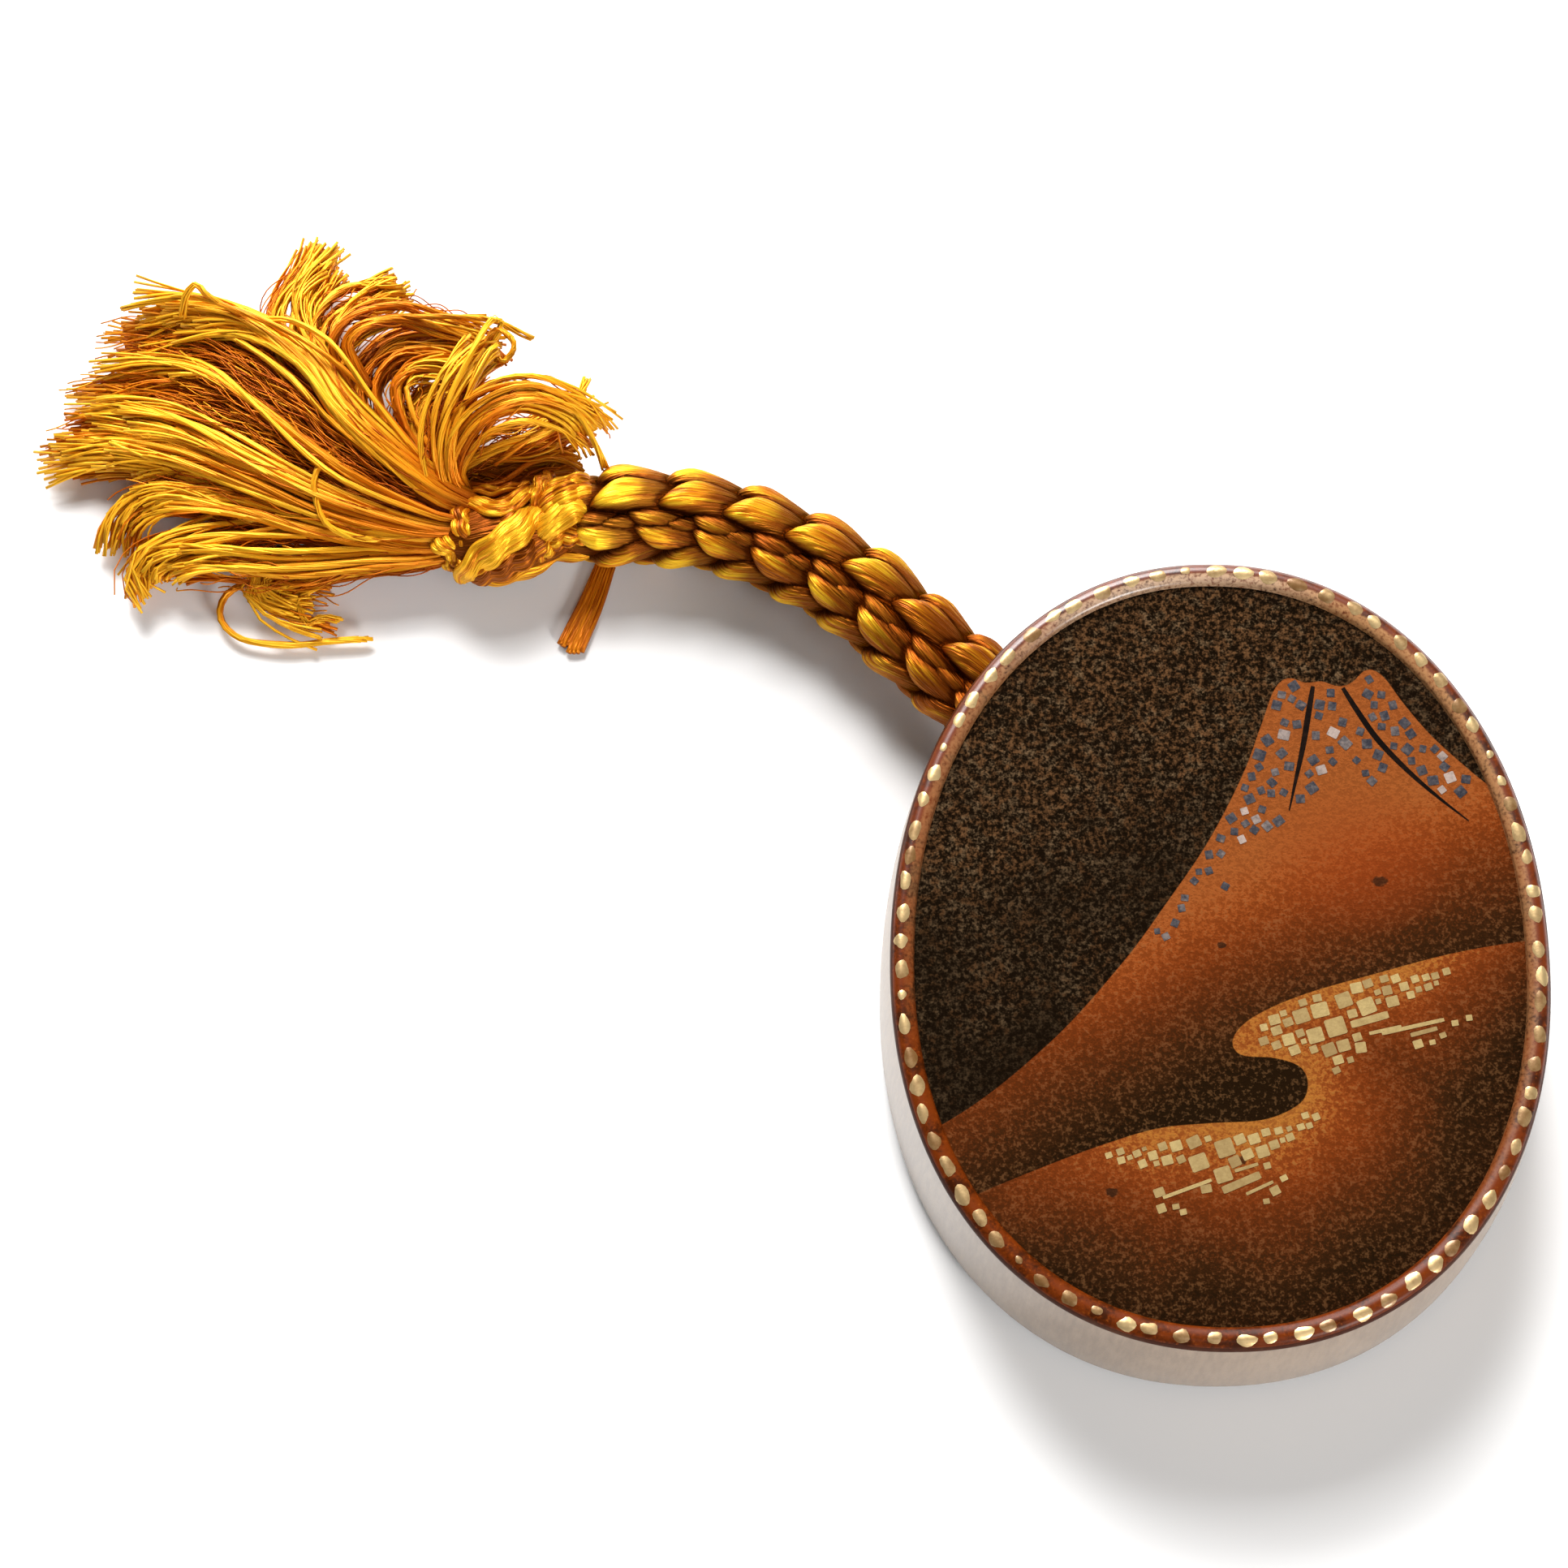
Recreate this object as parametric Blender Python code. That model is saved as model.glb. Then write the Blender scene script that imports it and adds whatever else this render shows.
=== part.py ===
"""A lacquer manju netsuke on a short braided silk cord, lying on its back.

An oval lacquered toggle rests on its flat back with the painted face up. A round silk
braid comes out of a bore in its edge, lies along the table, ends in a knot, and opens
into a frayed tassel. Metres; +Z comes out of the painted face, +X points to its right
and +Y to its top. The origin is the middle of the flat back.

The sizes below are in millimetres. What drives them is the oval's half-width and
half-height, its thickness, and the thickness of the braid.
"""
import math
from dataclasses import dataclass

import bmesh
import bpy
from mathutils import Matrix, Vector

MM = 0.001

# The lacquered oval
HALF_WIDTH = 18.85          # half of the oval's width
HALF_HEIGHT = 23.15         # half of its height
ROUNDNESS = 2.13            # 2 is a true ellipse, more is squarer
TAPER = -0.034              # the oval is a little wider below its middle
THICKNESS = 11.0
BACK_ROUND = 1.3            # radius of the edge between the back and the side
SHOULDER_WIDTH = 1.05       # from the side in to the crest of the rim bead
SHOULDER_HEIGHT = 1.1
RIM_WIDTH = 2.0             # from the side in to the painted panel
RIM_FALL = 0.4              # from the bead's crest down to its inner foot
PANEL_STEP = 0.15           # crisp step at the panel's edge
OUTLINE_POINTS = 64
ROUND_STEPS = 5
HAIR = 0.003                # points closer than this are one point

# The braid, and the bore that it goes into
BRAID = 6.4                 # diameter of the braid
BORE = 7.2                  # diameter of the bore
BORE_AT = (-13.25, 16.75, 5.0)  # where the braid's centre meets the side
BORE_WAY = (0.69, -0.724, 0.0)  # the way in
BORE_DEPTH = 14.0
BRAID_IN = 13.2             # how much of the braid is inside
CORD_HOLE = 3.5             # diameter of the cord hole in the back
CORD_HOLE_IN = 11.6         # along the bore from its mouth
CUTTER_SIDES = 28
BRAID_STEP = 2.4            # spacing of the braid's centreline points
BRAID_ROUTE = ((-16.6, 20.0, 4.6), (-19.0, 22.4, 4.2), (-22.0, 24.8, 3.8), (-25.4, 26.6, 3.5),
               (-28.8, 27.8, 3.4), (-32.3, 28.2, 3.4), (-35.45, 28.1, 3.4))

# The knot: a core with slanting wraps laid round its long axis
KNOT_AT = (-40.5, 27.1, 3.4)
KNOT_TURN = 10.6            # degrees that its long axis is turned from +X
KNOT_CORE = (4.3, 2.2, 2.7)
WRAP_POINTS = 20
WRAP_SIDES = 9

# The tassel
LOCK_STATIONS = 11
LOCK_SIDES = 12
GROOVE = 0.20               # depth of the grooves between a lock's strands
GROOVES = 6
TABLE_GAP = 0.1             # the silk's lowest point above the back's plane

# The flat cut end that lies beside the knot
STRIP_FROM = (-35.0, 26.2)
STRIP_BEND = (-35.9, 23.7)
STRIP_TO = (-37.1, 20.9)
STRIP_WIDTHS = (1.1, 1.4, 1.6)
STRIP_THICKNESS = 0.5


@dataclass(frozen=True)
class Wrap:
    """One turn of the knot: a ring laid across the knot's long axis at a slant."""
    along: float            # its middle, along the axis
    across: float           # its middle, across the axis
    slant: float            # degrees from the axis to the way that its top runs
    reach: float            # radius of the turn in the flat
    height: float           # radius of the turn upright
    strand: float           # radius of the strand


@dataclass(frozen=True)
class Lock:
    """One lock of the tassel: its route, and its half-widths and half-depths on the way."""
    route: tuple
    widths: tuple           # at the root, the belly and the tip
    depths: tuple


WRAPS = (
    Wrap(along=2.65, across=0.4, slant=54, reach=2.05, height=2.05, strand=1.1),
    Wrap(along=0.2, across=0.15, slant=46, reach=2.55, height=2.1, strand=1.15),
    Wrap(along=-2.0, across=0.2, slant=62, reach=1.8, height=1.85, strand=0.95),
    Wrap(along=-3.75, across=-0.2, slant=78, reach=1.1, height=1.25, strand=0.7),
)

# The strand that slings under the wraps, from the root of the tassel back to the braid
SLING = Lock(
    ((-44.1, 26.3, 2.4), (-42.6, 25.4, 2.0), (-41.0, 24.9, 1.8), (-39.2, 25.2, 1.8),
     (-37.8, 25.9, 2.0), (-36.5, 26.3, 2.3)),
    (0.5, 0.7, 0.5), (0.6, 0.8, 0.6))

LOCKS = {
    "fan_crown": Lock(
        ((-44.7, 29.2, 4.4), (-48.2, 31.7, 5.2), (-50.6, 34.0, 5.2), (-53.0, 37.2, 4.7),
         (-56.4, 39.8, 3.9), (-60.2, 41.0, 2.6), (-64.2, 41.2, 1.3)),
        (0.8, 1.5, 0.9), (1.1, 1.2, 0.5)),
    "fan_upper": Lock(
        ((-45.0, 28.5, 4.2), (-49.6, 31.0, 4.6), (-54.0, 35.0, 4.2), (-58.1, 38.2, 3.2),
         (-62.2, 39.5, 2.1), (-65.8, 39.7, 1.1)),
        (0.9, 2.1, 1.3), (1.2, 1.5, 0.5)),
    "fan_middle": Lock(
        ((-45.3, 27.8, 3.9), (-50.5, 29.9, 4.1), (-55.4, 32.8, 3.7), (-59.9, 35.3, 2.8),
         (-64.0, 36.2, 1.9), (-67.8, 35.9, 0.9)),
        (0.9, 2.2, 1.6), (1.2, 1.5, 0.5)),
    "fan_lower": Lock(
        ((-45.6, 27.1, 3.7), (-50.5, 28.2, 3.6), (-55.5, 30.3, 3.1), (-60.5, 32.4, 2.2),
         (-64.9, 33.3, 1.5), (-69.3, 33.1, 0.8)),
        (0.9, 2.1, 1.5), (1.2, 1.4, 0.45)),
    "side_curl": Lock(
        ((-45.7, 26.5, 3.2), (-51.6, 27.6, 3.1), (-56.5, 29.1, 2.7), (-60.3, 29.9, 2.2),
         (-62.6, 29.6, 1.8), (-64.0, 28.4, 1.4), (-64.6, 26.4, 0.8)),
        (0.8, 1.6, 0.6), (1.0, 1.0, 0.45)),
    "lower_bunch": Lock(
        ((-45.8, 26.2, 2.7), (-49.4, 26.3, 2.6), (-54.0, 26.2, 2.3), (-58.4, 26.4, 2.0),
         (-61.2, 25.9, 1.7), (-62.1, 24.8, 1.4), (-61.4, 23.9, 0.9)),
        (0.8, 2.2, 1.3), (1.0, 1.3, 0.5)),
    "lower_tail": Lock(
        ((-45.9, 26.0, 2.2), (-49.9, 25.9, 1.8), (-53.8, 25.3, 1.5), (-55.2, 24.5, 1.2),
         (-53.6, 23.7, 1.0), (-50.2, 23.2, 0.8)),
        (0.6, 1.3, 1.1), (0.8, 0.7, 0.4)),
    "stray_loop": Lock(
        ((-55.4, 25.2, 1.1), (-57.5, 24.3, 0.7), (-57.9, 22.7, 0.6), (-56.6, 21.4, 0.55),
         (-53.9, 21.0, 0.55), (-51.0, 21.3, 0.55), (-48.6, 21.4, 0.55)),
        (0.3, 0.4, 0.35), (0.3, 0.35, 0.3)),
    "upper_bunch": Lock(
        ((-47.2, 31.4, 3.2), (-50.6, 35.2, 3.4), (-53.2, 38.8, 3.3), (-53.7, 41.3, 3.1),
         (-52.7, 43.6, 2.6), (-51.2, 45.8, 1.8)),
        (0.9, 1.9, 0.8), (1.0, 1.1, 0.5)),
    "upper_side": Lock(
        ((-51.6, 37.2, 3.6), (-51.9, 39.6, 3.6), (-50.7, 41.3, 3.3), (-48.8, 42.3, 2.8),
         (-46.4, 43.2, 2.0)),
        (0.9, 1.1, 0.7), (0.9, 0.8, 0.45)),
    "back_arch": Lock(
        ((-49.6, 35.6, 4.2), (-50.9, 38.0, 5.0), (-49.9, 39.7, 5.4), (-47.2, 40.5, 5.3),
         (-43.9, 39.8, 4.5), (-40.4, 39.0, 3.2)),
        (0.8, 0.9, 0.4), (0.8, 0.6, 0.35)),
    "back_bowl": Lock(
        ((-45.0, 30.2, 3.6), (-47.6, 33.0, 3.7), (-48.7, 36.0, 3.8), (-47.2, 38.1, 3.9),
         (-44.5, 38.3, 3.8), (-42.0, 37.2, 3.5)),
        (0.9, 2.0, 1.3), (0.9, 1.0, 0.6)),
    "inner_bowl": Lock(
        ((-44.7, 30.4, 3.2), (-46.1, 32.6, 3.1), (-46.4, 34.6, 3.1), (-45.3, 36.0, 3.1),
         (-43.4, 36.0, 3.0)),
        (0.8, 1.4, 1.0), (0.8, 0.9, 0.6)),
    "standing_curl": Lock(
        ((-44.3, 30.0, 4.6), (-44.4, 32.2, 6.3), (-43.3, 35.2, 7.0), (-41.7, 37.6, 6.6),
         (-40.6, 37.0, 5.6)),
        (0.9, 1.5, 0.8), (0.9, 0.9, 0.5)),
    "curl_over": Lock(
        ((-43.9, 30.6, 4.8), (-42.4, 32.6, 7.2), (-39.8, 33.7, 7.8), (-37.3, 33.5, 6.8),
         (-35.9, 32.8, 5.4), (-35.3, 32.3, 4.4)),
        (0.9, 1.5, 0.6), (0.8, 0.8, 0.45)),
    "back_wisp": Lock(
        ((-44.1, 30.9, 3.4), (-41.5, 32.4, 4.2), (-39.2, 33.0, 4.6), (-37.6, 34.0, 4.6),
         (-36.5, 36.0, 4.2)),
        (0.9, 1.2, 0.4), (0.9, 0.9, 0.35)),
    "knot_veil": Lock(
        ((-43.9, 31.0, 2.8), (-41.4, 31.6, 3.2), (-38.9, 32.1, 3.4), (-36.6, 32.8, 3.2)),
        (0.8, 1.1, 0.8), (0.8, 1.0, 0.6)),
}


def clear_scene():
    """Remove whatever the file opens with."""
    for thing in list(bpy.data.objects):
        bpy.data.objects.remove(thing, do_unlink=True)


def material(name, colour, roughness, metallic=0.0):
    """Make a plain material in the part's colour."""
    finish = bpy.data.materials.new(name)
    finish.use_nodes = True
    shader = finish.node_tree.nodes["Principled BSDF"]
    shader.inputs["Base Color"].default_value = (*colour, 1.0)
    shader.inputs["Roughness"].default_value = roughness
    shader.inputs["Metallic"].default_value = metallic
    return finish


def add_object(name, mesh_data, finish):
    """Put a mesh or a curve into the scene under a name."""
    thing = bpy.data.objects.new(name, mesh_data)
    thing.data.materials.append(finish)
    bpy.context.collection.objects.link(thing)
    return thing


def loft(name, rings, finish, joined=False):
    """Skin a row of rings given in millimetres; the ends are capped, or joined to each other."""
    shape = bmesh.new()
    rows = [[shape.verts.new(Vector(p) * MM) for p in ring] for ring in rings]
    sides = len(rows[0])
    pairs = list(zip(rows, rows[1:]))
    if joined:
        pairs.append((rows[-1], rows[0]))
    for low, high in pairs:
        for i in range(sides):
            j = (i + 1) % sides
            shape.faces.new((low[i], low[j], high[j], high[i]))
    if not joined:
        shape.faces.new(rows[0])
        shape.faces.new(rows[-1])
    bmesh.ops.recalc_face_normals(shape, faces=shape.faces)
    mesh = bpy.data.meshes.new(name)
    shape.to_mesh(mesh)
    shape.free()
    mesh.shade_smooth()
    return add_object(name, mesh, finish)


def smooth_route(points, count):
    """Evenly spaced points on a smooth curve that passes through the given ones."""
    knots = [Vector(p) for p in points]
    knots = [2 * knots[0] - knots[1], *knots, 2 * knots[-1] - knots[-2]]
    fine = []
    steps = 24
    for a, b, c, d in zip(knots, knots[1:], knots[2:], knots[3:]):
        for k in range(steps):
            t = k / steps
            fine.append(0.5 * (2 * b + (c - a) * t + (2 * a - 5 * b + 4 * c - d) * t * t
                               + (3 * b - a - 3 * c + d) * t ** 3))
    fine.append(knots[-2])
    runs = [0.0]
    for a, b in zip(fine, fine[1:]):
        runs.append(runs[-1] + (b - a).length)
    route = []
    at = 0
    for k in range(count):
        goal = runs[-1] * k / (count - 1)
        while at < len(fine) - 2 and runs[at + 1] < goal:
            at += 1
        share = (goal - runs[at]) / (runs[at + 1] - runs[at])
        route.append(fine[at].lerp(fine[at + 1], share))
    return route


def boolean(body, tool, operation, solver="EXACT"):
    """Add or cut one solid, and remove the tool."""
    cut = body.modifiers.new(operation.lower(), "BOOLEAN")
    cut.operation = operation
    cut.solver = solver
    cut.object = tool
    with bpy.context.temp_override(object=body, active_object=body):
        bpy.ops.object.modifier_apply(modifier=cut.name)
    bpy.data.objects.remove(tool, do_unlink=True)


def soften(body, angle=40):
    """Close the hair cracks of a fused solid, and shade it smooth between its sharp edges."""
    tidy = bmesh.new()
    tidy.from_mesh(body.data)
    bmesh.ops.remove_doubles(tidy, verts=tidy.verts, dist=HAIR * MM)
    bmesh.ops.dissolve_degenerate(tidy, edges=tidy.edges, dist=HAIR * MM)
    tidy.to_mesh(body.data)
    tidy.free()
    body.data.shade_smooth()
    body.data.set_sharp_from_angle(angle=math.radians(angle))


def oval_ring(inset, height):
    """The oval's outline, drawn in by an inset, at a height."""
    ring = []
    for k in range(OUTLINE_POINTS):
        angle = 2 * math.pi * k / OUTLINE_POINTS
        c, s = math.cos(angle), math.sin(angle)
        y = math.copysign(abs(s) ** (2 / ROUNDNESS), s)
        x = math.copysign(abs(c) ** (2 / ROUNDNESS), c) * (1 + TAPER * y)
        ring.append((x * (HALF_WIDTH - inset), y * (HALF_HEIGHT - inset), height))
    return ring


def body_profile():
    """The oval's section from the back up round the side to the panel, as inset and height."""
    quarter = [math.pi / 2 * k / ROUND_STEPS for k in range(ROUND_STEPS + 1)]
    wall_top = THICKNESS - SHOULDER_HEIGHT
    bead_in = RIM_WIDTH - SHOULDER_WIDTH
    rim_foot = THICKNESS - RIM_FALL
    profile = [(BACK_ROUND * (1 - math.sin(a)), BACK_ROUND * (1 - math.cos(a))) for a in quarter]
    profile += [(SHOULDER_WIDTH * (1 - math.cos(a)), wall_top + SHOULDER_HEIGHT * math.sin(a))
                for a in quarter]
    profile += [(SHOULDER_WIDTH + bead_in * math.sin(a), rim_foot + RIM_FALL * math.cos(a))
                for a in quarter[1:]]
    profile.append((RIM_WIDTH + 0.05, rim_foot - PANEL_STEP))
    return profile


def rod(name, start, way, length, diameter, finish):
    """A round rod from a start along a way, in millimetres."""
    axis = Vector(way).normalized()
    turn = axis.to_track_quat("Z", "Y").to_matrix()
    rings = []
    for run in (0.0, length):
        centre = Vector(start) + axis * run
        spokes = [2 * math.pi * k / CUTTER_SIDES for k in range(CUTTER_SIDES)]
        rings.append([centre + turn @ Vector((math.cos(a), math.sin(a), 0)) * diameter / 2
                      for a in spokes])
    return loft(name, rings, finish)


def make_body(finish):
    """The lacquered oval with its rim bead, its panel, the cord's bore and the cord hole."""
    body = loft("netsuke_body", [oval_ring(i, z) for i, z in body_profile()], finish)
    mouth = Vector(BORE_AT)
    way = Vector(BORE_WAY).normalized()
    lead = 4.0
    bore = rod("bore", mouth - way * lead, way, lead + BORE_DEPTH, BORE, finish)
    boolean(body, bore, "DIFFERENCE")
    hole_at = mouth + way * CORD_HOLE_IN
    hole = rod("cord_hole", (hole_at.x, hole_at.y, -1.0), (0, 0, 1), hole_at.z + 1.0,
               CORD_HOLE, finish)
    boolean(body, hole, "DIFFERENCE")
    soften(body)
    return body


def braid_line():
    """The braid's centreline, from its hidden end in the bore to the knot."""
    mouth = Vector(BORE_AT)
    way = Vector(BORE_WAY).normalized()
    inside = [mouth + way * BRAID_IN * share for share in (1.0, 0.66, 0.33, 0.0)]
    route = inside + [Vector(p) for p in BRAID_ROUTE]
    length = sum((b - a).length for a, b in zip(route, route[1:]))
    return smooth_route(route, round(length / BRAID_STEP) + 1)


def make_braid(finish):
    """The braid as a plain round tube along its centreline."""
    line = braid_line()
    curve = bpy.data.curves.new("cord_braid", "CURVE")
    curve.dimensions = "3D"
    curve.bevel_depth = BRAID / 2 * MM
    curve.bevel_resolution = 4
    curve.use_fill_caps = True
    spline = curve.splines.new("POLY")
    spline.points.add(len(line) - 1)
    for point, place in zip(spline.points, line):
        point.co = (*(place * MM), 1.0)
    return add_object("cord_braid", curve, finish)


def knot_frame():
    """The knot's own frame: along its axis, across it, and up."""
    return Matrix.Translation(KNOT_AT) @ Matrix.Rotation(math.radians(KNOT_TURN), 4, "Z")


def ellipsoid_rings(radii, rows, sides):
    """The rings of an ellipsoid whose poles lie on its first axis."""
    rings = []
    for k in range(1, rows):
        a = math.pi * k / rows
        spread = math.sin(a)
        ring = [(-radii[0] * math.cos(a), radii[1] * spread * math.cos(b),
                 radii[2] * spread * math.sin(b))
                for b in (2 * math.pi * j / sides for j in range(sides))]
        rings.append(ring)
    return rings


def wrap_rings(wrap):
    """The rings of one turn of the knot, in the knot's own frame."""
    slant = math.radians(wrap.slant)
    flat = Vector((math.cos(slant), math.sin(slant), 0))
    up = Vector((0, 0, 1))
    middle = Vector((wrap.along, wrap.across, 0))
    side = flat.cross(up)
    rings = []
    for k in range(WRAP_POINTS):
        a = 2 * math.pi * k / WRAP_POINTS
        centre = middle + flat * wrap.reach * math.cos(a) + up * wrap.height * math.sin(a)
        out = (flat * wrap.height * math.cos(a) + up * wrap.reach * math.sin(a)).normalized()
        ring = []
        for j in range(WRAP_SIDES):
            b = 2 * math.pi * j / WRAP_SIDES
            ring.append(centre + (out * math.cos(b) + side * math.sin(b)) * wrap.strand)
        rings.append(ring)
    return rings


def make_knot(finish):
    """The knot: its core, its slanting wraps and the sling under them, fused into one solid."""
    frame = knot_frame()
    core = ellipsoid_rings(KNOT_CORE, 9, 14)
    knot = loft("cord_knot", [[frame @ Vector(p) for p in ring] for ring in core], finish)
    for wrap in WRAPS:
        rings = [[frame @ p for p in ring] for ring in wrap_rings(wrap)]
        boolean(knot, loft("wrap", rings, finish, joined=True), "UNION")
    boolean(knot, loft("sling", lock_rings(SLING), finish), "UNION")
    soften(knot)
    return knot


def along(values, share):
    """Blend the values at the root, the belly and the tip, for a share of the way."""
    root, belly, tip = values
    belly_at = 0.55
    if share < belly_at:
        t = share / belly_at
        return root + (belly - root) * t * t * (3 - 2 * t)
    t = (share - belly_at) / (1 - belly_at)
    return belly + (tip - belly) * t * t * (3 - 2 * t)


def lock_rings(lock):
    """The rings of one lock: flattened, grooved like strands, and lying clear of the table."""
    line = smooth_route(lock.route, LOCK_STATIONS)
    rings = []
    for k, centre in enumerate(line):
        ahead = line[min(k + 1, len(line) - 1)] - line[max(k - 1, 0)]
        side = Vector((0, 0, 1)).cross(ahead).normalized()
        top = ahead.cross(side).normalized()
        share = k / (len(line) - 1)
        width, depth = along(lock.widths, share), along(lock.depths, share)
        lift = max(0.0, depth + TABLE_GAP - centre.z)
        ring = []
        for j in range(LOCK_SIDES):
            b = 2 * math.pi * j / LOCK_SIDES
            strand = 1 - GROOVE * (0.5 + 0.5 * math.cos(GROOVES * b))
            ring.append(centre + Vector((0, 0, lift)) + side * width * strand * math.cos(b)
                        + top * depth * strand * math.sin(b))
        rings.append(ring)
    return rings


def make_tassel(finish):
    """The tassel: every lock lofted along its route, and all fused at the root.

    The locks graze each other over long stretches, which only the manifold solver joins.
    """
    names = list(LOCKS)
    tassel = loft("cord_tassel", lock_rings(LOCKS[names[0]]), finish)
    for name in names[1:]:
        boolean(tassel, loft(name, lock_rings(LOCKS[name]), finish), "UNION", "MANIFOLD")
    soften(tassel)
    return tassel


def make_strip(finish):
    """The flat cut end that lies beside the knot, widening towards its end."""
    places = [Vector((*p, 0)) for p in (STRIP_FROM, STRIP_BEND, STRIP_TO)]
    rings = []
    for place, width in zip(places, STRIP_WIDTHS):
        ahead = (places[-1] - places[0]).normalized()
        side = Vector((-ahead.y, ahead.x, 0)) * width / 2
        low = Vector((0, 0, TABLE_GAP))
        high = Vector((0, 0, TABLE_GAP + STRIP_THICKNESS))
        rings.append([place - side + low, place + side + low, place + side + high,
                      place - side + high])
    return loft("cord_strip_end", rings, finish)


def main():
    """Build the netsuke, its cord and its tassel."""
    clear_scene()
    lacquer = material("lacquer", (0.16, 0.06, 0.025), 0.22)
    silk = material("braid_silk", (0.55, 0.28, 0.03), 0.45)
    knot_silk = material("knot_silk", (0.50, 0.24, 0.03), 0.45)
    tassel_silk = material("tassel_silk", (0.62, 0.34, 0.04), 0.5)
    strip_silk = material("strip_silk", (0.30, 0.11, 0.02), 0.6)
    make_body(lacquer)
    make_braid(silk)
    make_knot(knot_silk)
    make_tassel(tassel_silk)
    make_strip(strip_silk)


main()
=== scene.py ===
"""A lacquered manju netsuke on a braided silk cord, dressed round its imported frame.

The toggle is an oval of brown lacquer with a rim bead set with gold foil, round a
picture of a mountain over drifting mist: sprinkled powder, squares of cut gold leaf
and squares of blue shell. The cord is a round braid of golden silk floss that comes out
of a bore in the side, is knotted, and ends in a loose tassel. The sizes in the classes
below are millimetres; what goes into a mesh is metres.
"""
import logging
import math
import random
from contextlib import contextmanager
from dataclasses import dataclass
from enum import Enum
from functools import cache
from itertools import pairwise
from typing import Any, Callable, Iterator, Mapping, Sequence

import bmesh
import bpy
import numpy as np
from mathutils import Matrix, Vector


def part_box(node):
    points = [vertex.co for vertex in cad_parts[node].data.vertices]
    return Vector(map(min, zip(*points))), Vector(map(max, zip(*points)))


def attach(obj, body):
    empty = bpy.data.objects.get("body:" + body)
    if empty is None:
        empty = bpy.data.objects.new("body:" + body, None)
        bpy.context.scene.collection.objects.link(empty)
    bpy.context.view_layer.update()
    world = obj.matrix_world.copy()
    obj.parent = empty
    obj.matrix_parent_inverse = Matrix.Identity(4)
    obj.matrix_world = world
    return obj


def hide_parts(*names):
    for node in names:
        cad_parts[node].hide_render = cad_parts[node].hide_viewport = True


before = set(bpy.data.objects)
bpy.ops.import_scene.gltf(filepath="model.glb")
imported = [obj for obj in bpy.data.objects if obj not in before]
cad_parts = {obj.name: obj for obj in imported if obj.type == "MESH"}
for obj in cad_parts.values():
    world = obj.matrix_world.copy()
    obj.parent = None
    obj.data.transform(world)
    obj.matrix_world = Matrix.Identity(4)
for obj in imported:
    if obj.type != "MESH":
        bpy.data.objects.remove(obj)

MM = 0.001
MAP_UNIT = 10.0         # millimetres to one unit of a fibre map
CREASE = 40.0           # the least angle, in degrees, that stays sharp
BELLY_AT = 0.55         # how far along a lock its belly is
BODY = "root"
LOG = logging.getLogger("netsuke")

Colour = tuple[float, float, float]
Point = tuple[float, float, float]
Flat = tuple[float, float]
Rows = np.ndarray
Thread = tuple[Rows, float, float]
Mould = Callable[[Vector], Vector]
Piece = bpy.types.Object
Material = bpy.types.Material
Socket = bpy.types.NodeSocket


# ---- bench: choosing and shaping


def set_aside() -> None:
    """Leave edit mode and deselect every object."""
    if bpy.context.mode != "OBJECT":
        bpy.ops.object.mode_set(mode="OBJECT")
    bpy.ops.object.select_all(action="DESELECT")


def pick(*pieces: Piece) -> None:
    """Select these pieces alone; the first is the active one."""
    set_aside()
    for piece in pieces:
        piece.select_set(True)
    bpy.context.view_layer.objects.active = pieces[0]


@contextmanager
def shaping(piece: Piece, kind: str = "EDGE", whole: bool = False) -> Iterator[None]:
    """Put a piece in edit mode, and leave it at the end.

    Args:
        piece: the piece to shape.
        kind: what is selected there: VERT, EDGE or FACE.
        whole: whether all of it is selected at first, or nothing.
    """
    pick(piece)
    bpy.ops.object.mode_set(mode="EDIT")
    bpy.ops.mesh.select_mode(type=kind)
    bpy.ops.mesh.select_all(action="SELECT" if whole else "DESELECT")
    yield
    bpy.ops.object.mode_set(mode="OBJECT")


def choose_edges(piece: Piece, wanted: Callable[[bmesh.types.BMEdge], bool]) -> None:
    """Select the edges of a piece in edit mode that pass a test."""
    shape = bmesh.from_edit_mesh(piece.data)
    for edge in shape.edges:
        edge.select_set(wanted(edge))
    shape.select_flush_mode()
    bmesh.update_edit_mesh(piece.data)


def extrude(x: float = 0.0, y: float = 0.0, z: float = 0.0) -> None:
    """Extrude what is selected, by a move in metres or in its place."""
    bpy.ops.mesh.extrude_region_move(TRANSFORM_OT_translate={"value": (x, y, z)})


def widen(wide: float, tall: float) -> None:
    """Scale what is selected, flat, about the middle of the scene."""
    bpy.ops.transform.resize(value=(wide, tall, 1), center_override=(0, 0, 0))


def close_ends(piece: Piece) -> None:
    """Fill the selected outline of a piece in edit mode, then the one that is still open."""
    bpy.ops.mesh.edge_face_add()
    choose_edges(piece, lambda edge: edge.is_boundary)
    bpy.ops.mesh.edge_face_add()


def finish_mesh(piece: Piece, name: str) -> Piece:
    """Name a shaped piece, put its place in its mesh, and shade it smooth between creases.

    Args:
        piece: the piece, closed.
        name: its name from here on.

    Returns:
        The same piece.
    """
    piece.name = name
    piece.data.name = name
    with shaping(piece, "FACE", whole=True):
        bpy.ops.mesh.normals_make_consistent(inside=False)
    pick(piece)
    bpy.ops.object.transform_apply(location=True, rotation=True, scale=True)
    bpy.ops.object.shade_smooth_by_angle(angle=math.radians(CREASE))
    return piece


def join(name: str, pieces: Sequence[Piece]) -> Piece:
    """Make one piece of several, under a name."""
    pick(*pieces)
    bpy.ops.object.join()
    return finish_mesh(bpy.context.object, name)


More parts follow.
